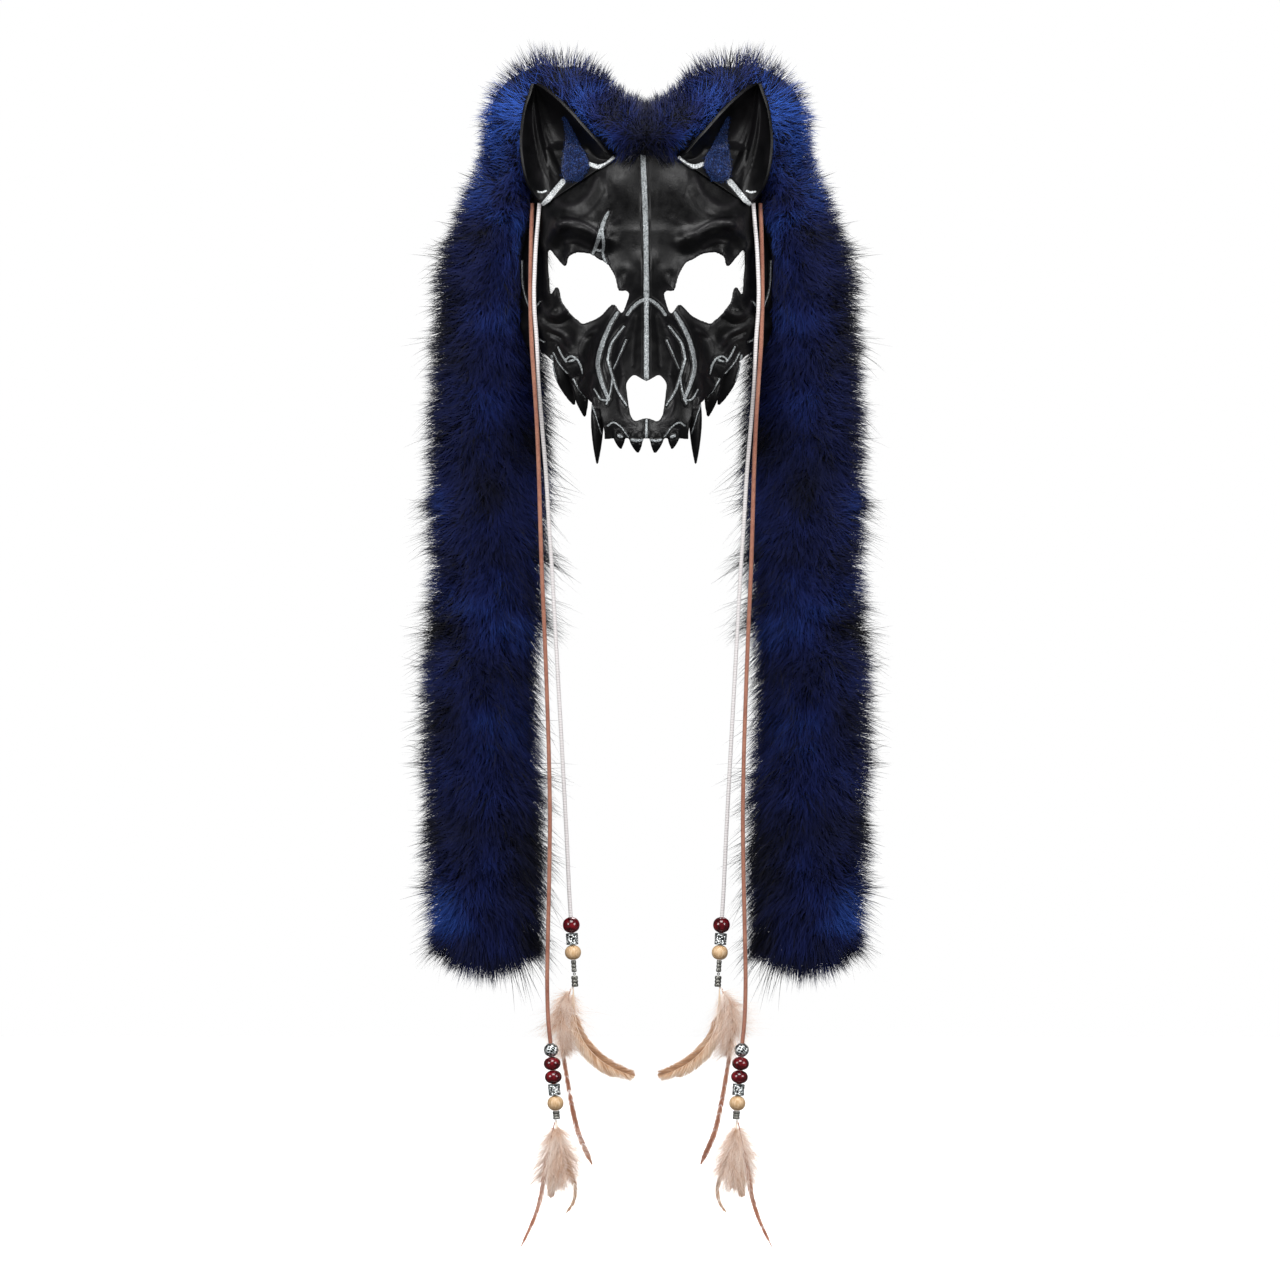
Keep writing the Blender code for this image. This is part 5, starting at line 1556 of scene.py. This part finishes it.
def grow_fur(side, sign, count, long, wide, steps, seed, guard):
    """Strands of one strip: their lines, widths, facing, tones and soft shading."""
    rng = np.random.default_rng(seed)
    fine = np.linspace(0, FUR_STOP, 400)
    rows = fur_rows(fine)
    pace = np.linalg.norm(np.gradient(rows[:, :2], axis=0), axis=1) * (rows[:, 3] + rows[:, 4])
    pace[-16:] *= 2.0
    share = np.cumsum(pace) / pace.sum()
    at = np.interp(rng.random(count), share, fine)
    in_front = rng.random(count) < FRONT_SHARE
    front, back = rng.uniform(math.pi, 2 * math.pi, count), rng.uniform(0, math.pi, count)
    turn = np.where(in_front, front, back)
    if guard:
        edge_on = rng.random(count) < GUARD_EDGE
        way_out = np.where(rng.random(count) < GUARD_OUTER, 0.0, math.pi)
        turn = np.where(edge_on, way_out + rng.normal(0, 0.45, count), turn)
        tuft = lumps(fur_points(at, turn, np.ones(count))[0], 0.020, seed + 1)
        chance = np.clip((tuft - 0.40) * 4.0, 0.10, 1) * np.where(at < 0.34, 0.12, 1)
        keep = rng.random(count) < chance
        at, turn = at[keep], turn[keep]
        count = len(at)
    sideways = np.cos(turn)[:, None]
    at = np.minimum(at, FUR_STOP - 0.035 * sideways[:, 0] ** 4 * rng.uniform(0.8, 1.2, count))
    rooted = rng.uniform(0.70, 0.84, count)
    if not guard:
        rooted += (0.07 + 0.05 * arched(at)) * sideways[:, 0] ** 2
    root, out, run = fur_points(at, turn, rooted)
    lean = np.stack([lumps(root, 0.024, seed + k) - 0.5 for k in (2, 3, 4)], axis=1)
    small = np.stack([lumps(root, 0.008, seed + k) - 0.5 for k in (5, 6, 7)], axis=1)
    hang = np.clip((at - 0.30) / 0.2, 0.0, 1)[:, None]
    end = np.clip((at - 0.86) / 0.09, 0, 1)[:, None]
    swept = np.where(sideways > 0, 0.60, -0.10) * sideways ** 2
    down = run * (0.14 + 0.30 * hang * (1 - np.abs(sideways)) + 0.8 * end + swept * (1 - end))
    loose = 1.0 if guard else 0.55
    way = unit(out * 0.85 + down + (lean + small * 0.8) * loose + rng.normal(0, 0.17, root.shape))
    size = long * (1 + loose * 0.55 * (lumps(root, 0.020, seed + 8) - 0.5))
    size *= rng.uniform(0.80, 1.15, count) * np.interp(at, *np.transpose(FUR_LENGTHS))
    if guard:
        size *= np.where(sideways[:, 0] < 0, 0.78, 1)
    else:
        size *= 1 - 0.22 * sideways[:, 0] ** 2
    t = np.linspace(0, 1, steps)
    droop = np.array([0, 0, -1.0]) * (0.16 + 0.16 * hang) + small * 0.7
    droop += rng.normal(0, 0.10, root.shape)
    path = way[:, None] * t[:, None] + droop[:, None] * (0.5 * t**2)[:, None]
    lines = root[:, None] + path * size[:, None, None]
    room = (FUR_LIMIT - root[:, 0]) / np.maximum(lines[:, -1, 0] - root[:, 0], 1e-6)
    short = np.where(room < 1, room * rng.uniform(0.8, 1, count), 1)
    lines = root[:, None] + (lines - root[:, None]) * short[:, None, None]
    lines[:, :, 0] = np.maximum(lines[:, :, 0], -FUR_CROSS)
    mirror = np.array([sign, 1.0, 1.0])
    lines, out, way = lines * mirror, out * mirror, way * mirror
    set_behind(lines[:, 0], side)
    keep = np.ones(count, bool)
    for k in range(1, steps):
        spots = lines[:, k]
        x, y, z = np.abs(spots[:, 0]), spots[:, 1], spots[:, 2]
        ears, shell = front_of(ear_trees[side], spots), front_of(shell_tree, spots)
        keep &= ~((ears > NO_HIT) & (y < ears + EAR_WALL + STRAND_GAP))
        crown = (x < 0.030) & (z > 0.041) & (y < shell - 0.0006)
        keep &= ~((shell > NO_HIT) & (y < shell + SHELL_WALL + STRAND_GAP) & ~crown)
        across_eye = (x < EYE_CLEAR) & (np.abs(z - EYE_MIDDLE) < EYE_HALF)
        keep &= ~(across_eye & (rng.random(count) < EYE_THIN))
    lines, out, at, sideways = lines[keep], out[keep], at[keep], sideways[keep, 0]
    rootspot = lines[:, 0] * mirror
    patch = lumps(rootspot, 0.030, 90) * 0.65 + lumps(rootspot, 0.012, 91) * 0.35
    # Painted shade in the middle parting at the top of the strip: strands near x = 0 are darkened.
    middle = bell(rootspot[:, 0], 0.012) * (at < 0.1)
    own = rng.normal(0, 0.06, len(lines))
    # Painted light and shade along the strip, as the light falls on the arch and the tail.
    painted_light = np.interp(at, *np.transpose(FUR_PAINTED_LIGHT))
    # Painted shade on the strip's sides, strongest on the inner side next to the face.
    edge = np.where(sideways > 0, 0.20, 0.06) * np.abs(sideways) ** 3
    edge *= np.clip((at - 0.32) / 0.1, 0.1, 1)
    bright = np.clip(0.42 + 1.2 * (patch - 0.44) - edge, 0.06, 0.8)
    bright *= painted_light * (1 - 0.75 * middle)
    # Painted shade at the roots: each strand's tone rises from root to tip.
    tone = (bright + own)[:, None] * (0.55 + 0.45 * t)[None]
    soft = unit(out + way[keep] * 0.25 + rng.normal(0, 0.14, out.shape))
    facing = unit(out + rng.normal(0, 0.35, out.shape))
    return lines, np.full(len(lines), wide), facing, np.clip(tone, 0, 1), soft


print("fur strip", round(float(fur_rows(np.array([1.0]))[0, 1]), 3), "m down to its end")

# %% [markdown]
# Two pieces of blue strands and one of guard hairs a side keep each piece light. The strands' own
# shading follows the body under them, which gives the soft glow of dense fur in place of the
# sparkle that thousands of separate flat faces would have.

# %% Fur strands
fur_blue = fibre_colour("deep_blue_fur", "02030f", "0d1c5a", "2a55b4", 0.65, 0.1)
fur_dark = fibre_colour("black_guard_hair", "030308", "060917", "0c1230", 0.5)
# The backing's near-black colour is painted shade deep in the pile.
backing = Finish("dark_fur_underwool", 0.9)
backing.set("Base Color", backing.ramp(backing.noise(0.004, 4), (0.35, "03050c"), (0.7, "070d24")))
backing.bump(backing.noise(0.0015, 3), 0.0015, 0.8)

# Name, count, length, width, points a strand, seed
COATS = [
    ("blue_fur_{}_1", 38000, 0.0215, 0.00052, 3, 100),
    ("blue_fur_{}_2", 38000, 0.0215, 0.00052, 3, 140),
    ("guard_hairs_{}", 11000, 0.035, 0.00056, 5, 300),
]
for side, sign in SIDES:
    show("fur_backing_" + side, fur_body(side, sign), backing.material, ["fur_" + side])
    for coat, *facts in COATS:
        guard = coat.startswith("guard")
        name = coat.format(side)
        mesh = ribbons(name, *grow_fur(side, sign, *facts, guard))
        show(name, mesh, fur_dark if guard else fur_blue, ())

# %% [markdown]
# ## Strap, floor and light
#
# The photograph hides how the mask is held on, so a plain woven elastic loop stands for it.

# %% Head strap
STRAP_HEIGHT, STRAP_TALL, STRAP_THICK = 0.005, 0.010, 0.0015
STRAP_HALF, STRAP_BACK, SHELL_SLANT = 0.072, 0.187, 1.6


def make_strap(steps=60):
    """A band on a plain loop behind the head, from one side of the shell to the other."""
    levels = [STRAP_HEIGHT + up * STRAP_TALL / 2 for up in (-1.0, 0.0, 1.0)]
    ends = face_front(np.full(3, STRAP_HALF + STRAP_THICK / 2), np.array(levels))
    start = float(ends.max()) + SHELL_SLANT * SHELL_WALL + 2 * SEAT_GAP
    straight = STRAP_BACK - STRAP_HALF
    path = [(STRAP_HALF, y) for y in np.linspace(start, straight, 14)[:-1]]
    for k in range(steps + 1):
        turn = math.pi * k / steps
        path.append((STRAP_HALF * math.cos(turn), straight + STRAP_HALF * math.sin(turn)))
    path += [(-x, y) for x, y in path[12::-1]]
    bm = bmesh.new()
    last = None
    profile = [
        (-1, -0.9), (-0.6, -1), (0.6, -1), (1, -0.9), (1, 0.9), (0.6, 1), (-0.6, 1), (-1, 0.9),
    ]
    for k, (x, y) in enumerate(path):
        run = Vector(path[min(k + 1, len(path) - 1)]) - Vector(path[max(k - 1, 0)])
        run.normalize()
        ring = [
            bm.verts.new((x + run.y * a * STRAP_THICK / 2, y - run.x * a * STRAP_THICK / 2,
                          STRAP_HEIGHT + b * STRAP_TALL / 2))
            for a, b in profile
        ]
        if last:
            for j in range(len(ring)):
                bm.faces.new((last[j - 1], last[j], ring[j], ring[j - 1]))
        else:
            bm.faces.new(ring)
        last = ring
    bm.faces.new(last[::-1])
    return mesh_from(bm, "head_strap", 50)


elastic = Finish("black_woven_elastic", 0.8)
weave = elastic.node("TexWave", Vector=elastic.place(), Scale=330.0, bands_direction="Z")
ribs = weave.outputs["Fac"]
elastic.set("Base Color", elastic.ramp(ribs, (0.0, "0a0a0b"), (1.0, "222225")))
elastic.bump(ribs, 0.0003, 0.7)
show("head_strap_fine", make_strap(), elastic.material, ["head_strap"])

# %% [markdown]
# The floor is a plain pale plane just under the lowest feather, with a lamp of its own, so that it
# stays as white as the photograph's background without lighting the mask from below. The world
# looks white but lights the mask only a little. What shapes the black skull is three softboxes:
# one high in front, and one to each side for the highlights along its folds. A fourth, high at
# the back, lights the fur and the inside for the views from behind.

# %% Floor, background and lights
FLOOR = -0.785
bm = bmesh.new()
bmesh.ops.create_grid(bm, x_segments=1, y_segments=1, size=6.0)
floor = placed("floor", mesh_from(bm, "floor"))
floor.location = (0.0, 0.0, FLOOR)
floor.visible_diffuse = False
floor.visible_glossy = False
pale = Finish("pale_floor", 0.9)
pale.set("Base Color", "f6f6f6")
pale.set("Specular IOR Level", 0.1)
floor.data.materials.append(pale.material)

floor_only = bpy.data.collections.new("floor_only")
floor_only.objects.link(floor)
overhead = bpy.data.lights.new("floor_lamp", "SUN")
overhead.energy = 3.6
overhead.angle = math.radians(120)
lamp = placed("floor_lamp", overhead)
lamp.light_linking.receiver_collection = floor_only

world = bpy.data.worlds.new("white_studio")
world.use_nodes = True
tree = world.node_tree
seen = tree.nodes.new("ShaderNodeLightPath").outputs["Is Camera Ray"]
level = tree.nodes.new("ShaderNodeMapRange")
level.inputs["To Min"].default_value = 0.11
level.inputs["To Max"].default_value = 1.0
tree.links.new(seen, level.inputs["Value"])
tree.links.new(level.outputs["Result"], tree.nodes["Background"].inputs["Strength"])
tree.nodes["Background"].inputs["Color"].default_value = (1.0, 1.0, 1.0, 1.0)
bpy.context.scene.world = world
bpy.context.scene.view_settings.view_transform = "Standard"

# Name, place, aimed at, size and power
LIGHTS = [
    ("high_softbox", (0.0, -1.6, 1.7), (0.0, 0.0, -0.1), 1.4, 60.0),
    ("left_softbox", (-2.1, -1.9, 0.2), (0.0, 0.0, -0.3), 1.2, 45.0),
    ("right_softbox", (2.1, -1.9, 0.2), (0.0, 0.0, -0.3), 1.2, 40.0),
    ("back_softbox", (0.4, 1.7, 1.9), (0.0, 0.0, 0.0), 1.4, 48.0),
]
for name, place, aim, size, power in LIGHTS:
    lamp = bpy.data.lights.new(name, "AREA")
    lamp.shape = "SQUARE"
    lamp.size = size
    lamp.energy = power
    light = placed(name, lamp)
    light.location = place
    light.rotation_euler = (Vector(aim) - Vector(place)).to_track_quat("-Z", "Y").to_euler()
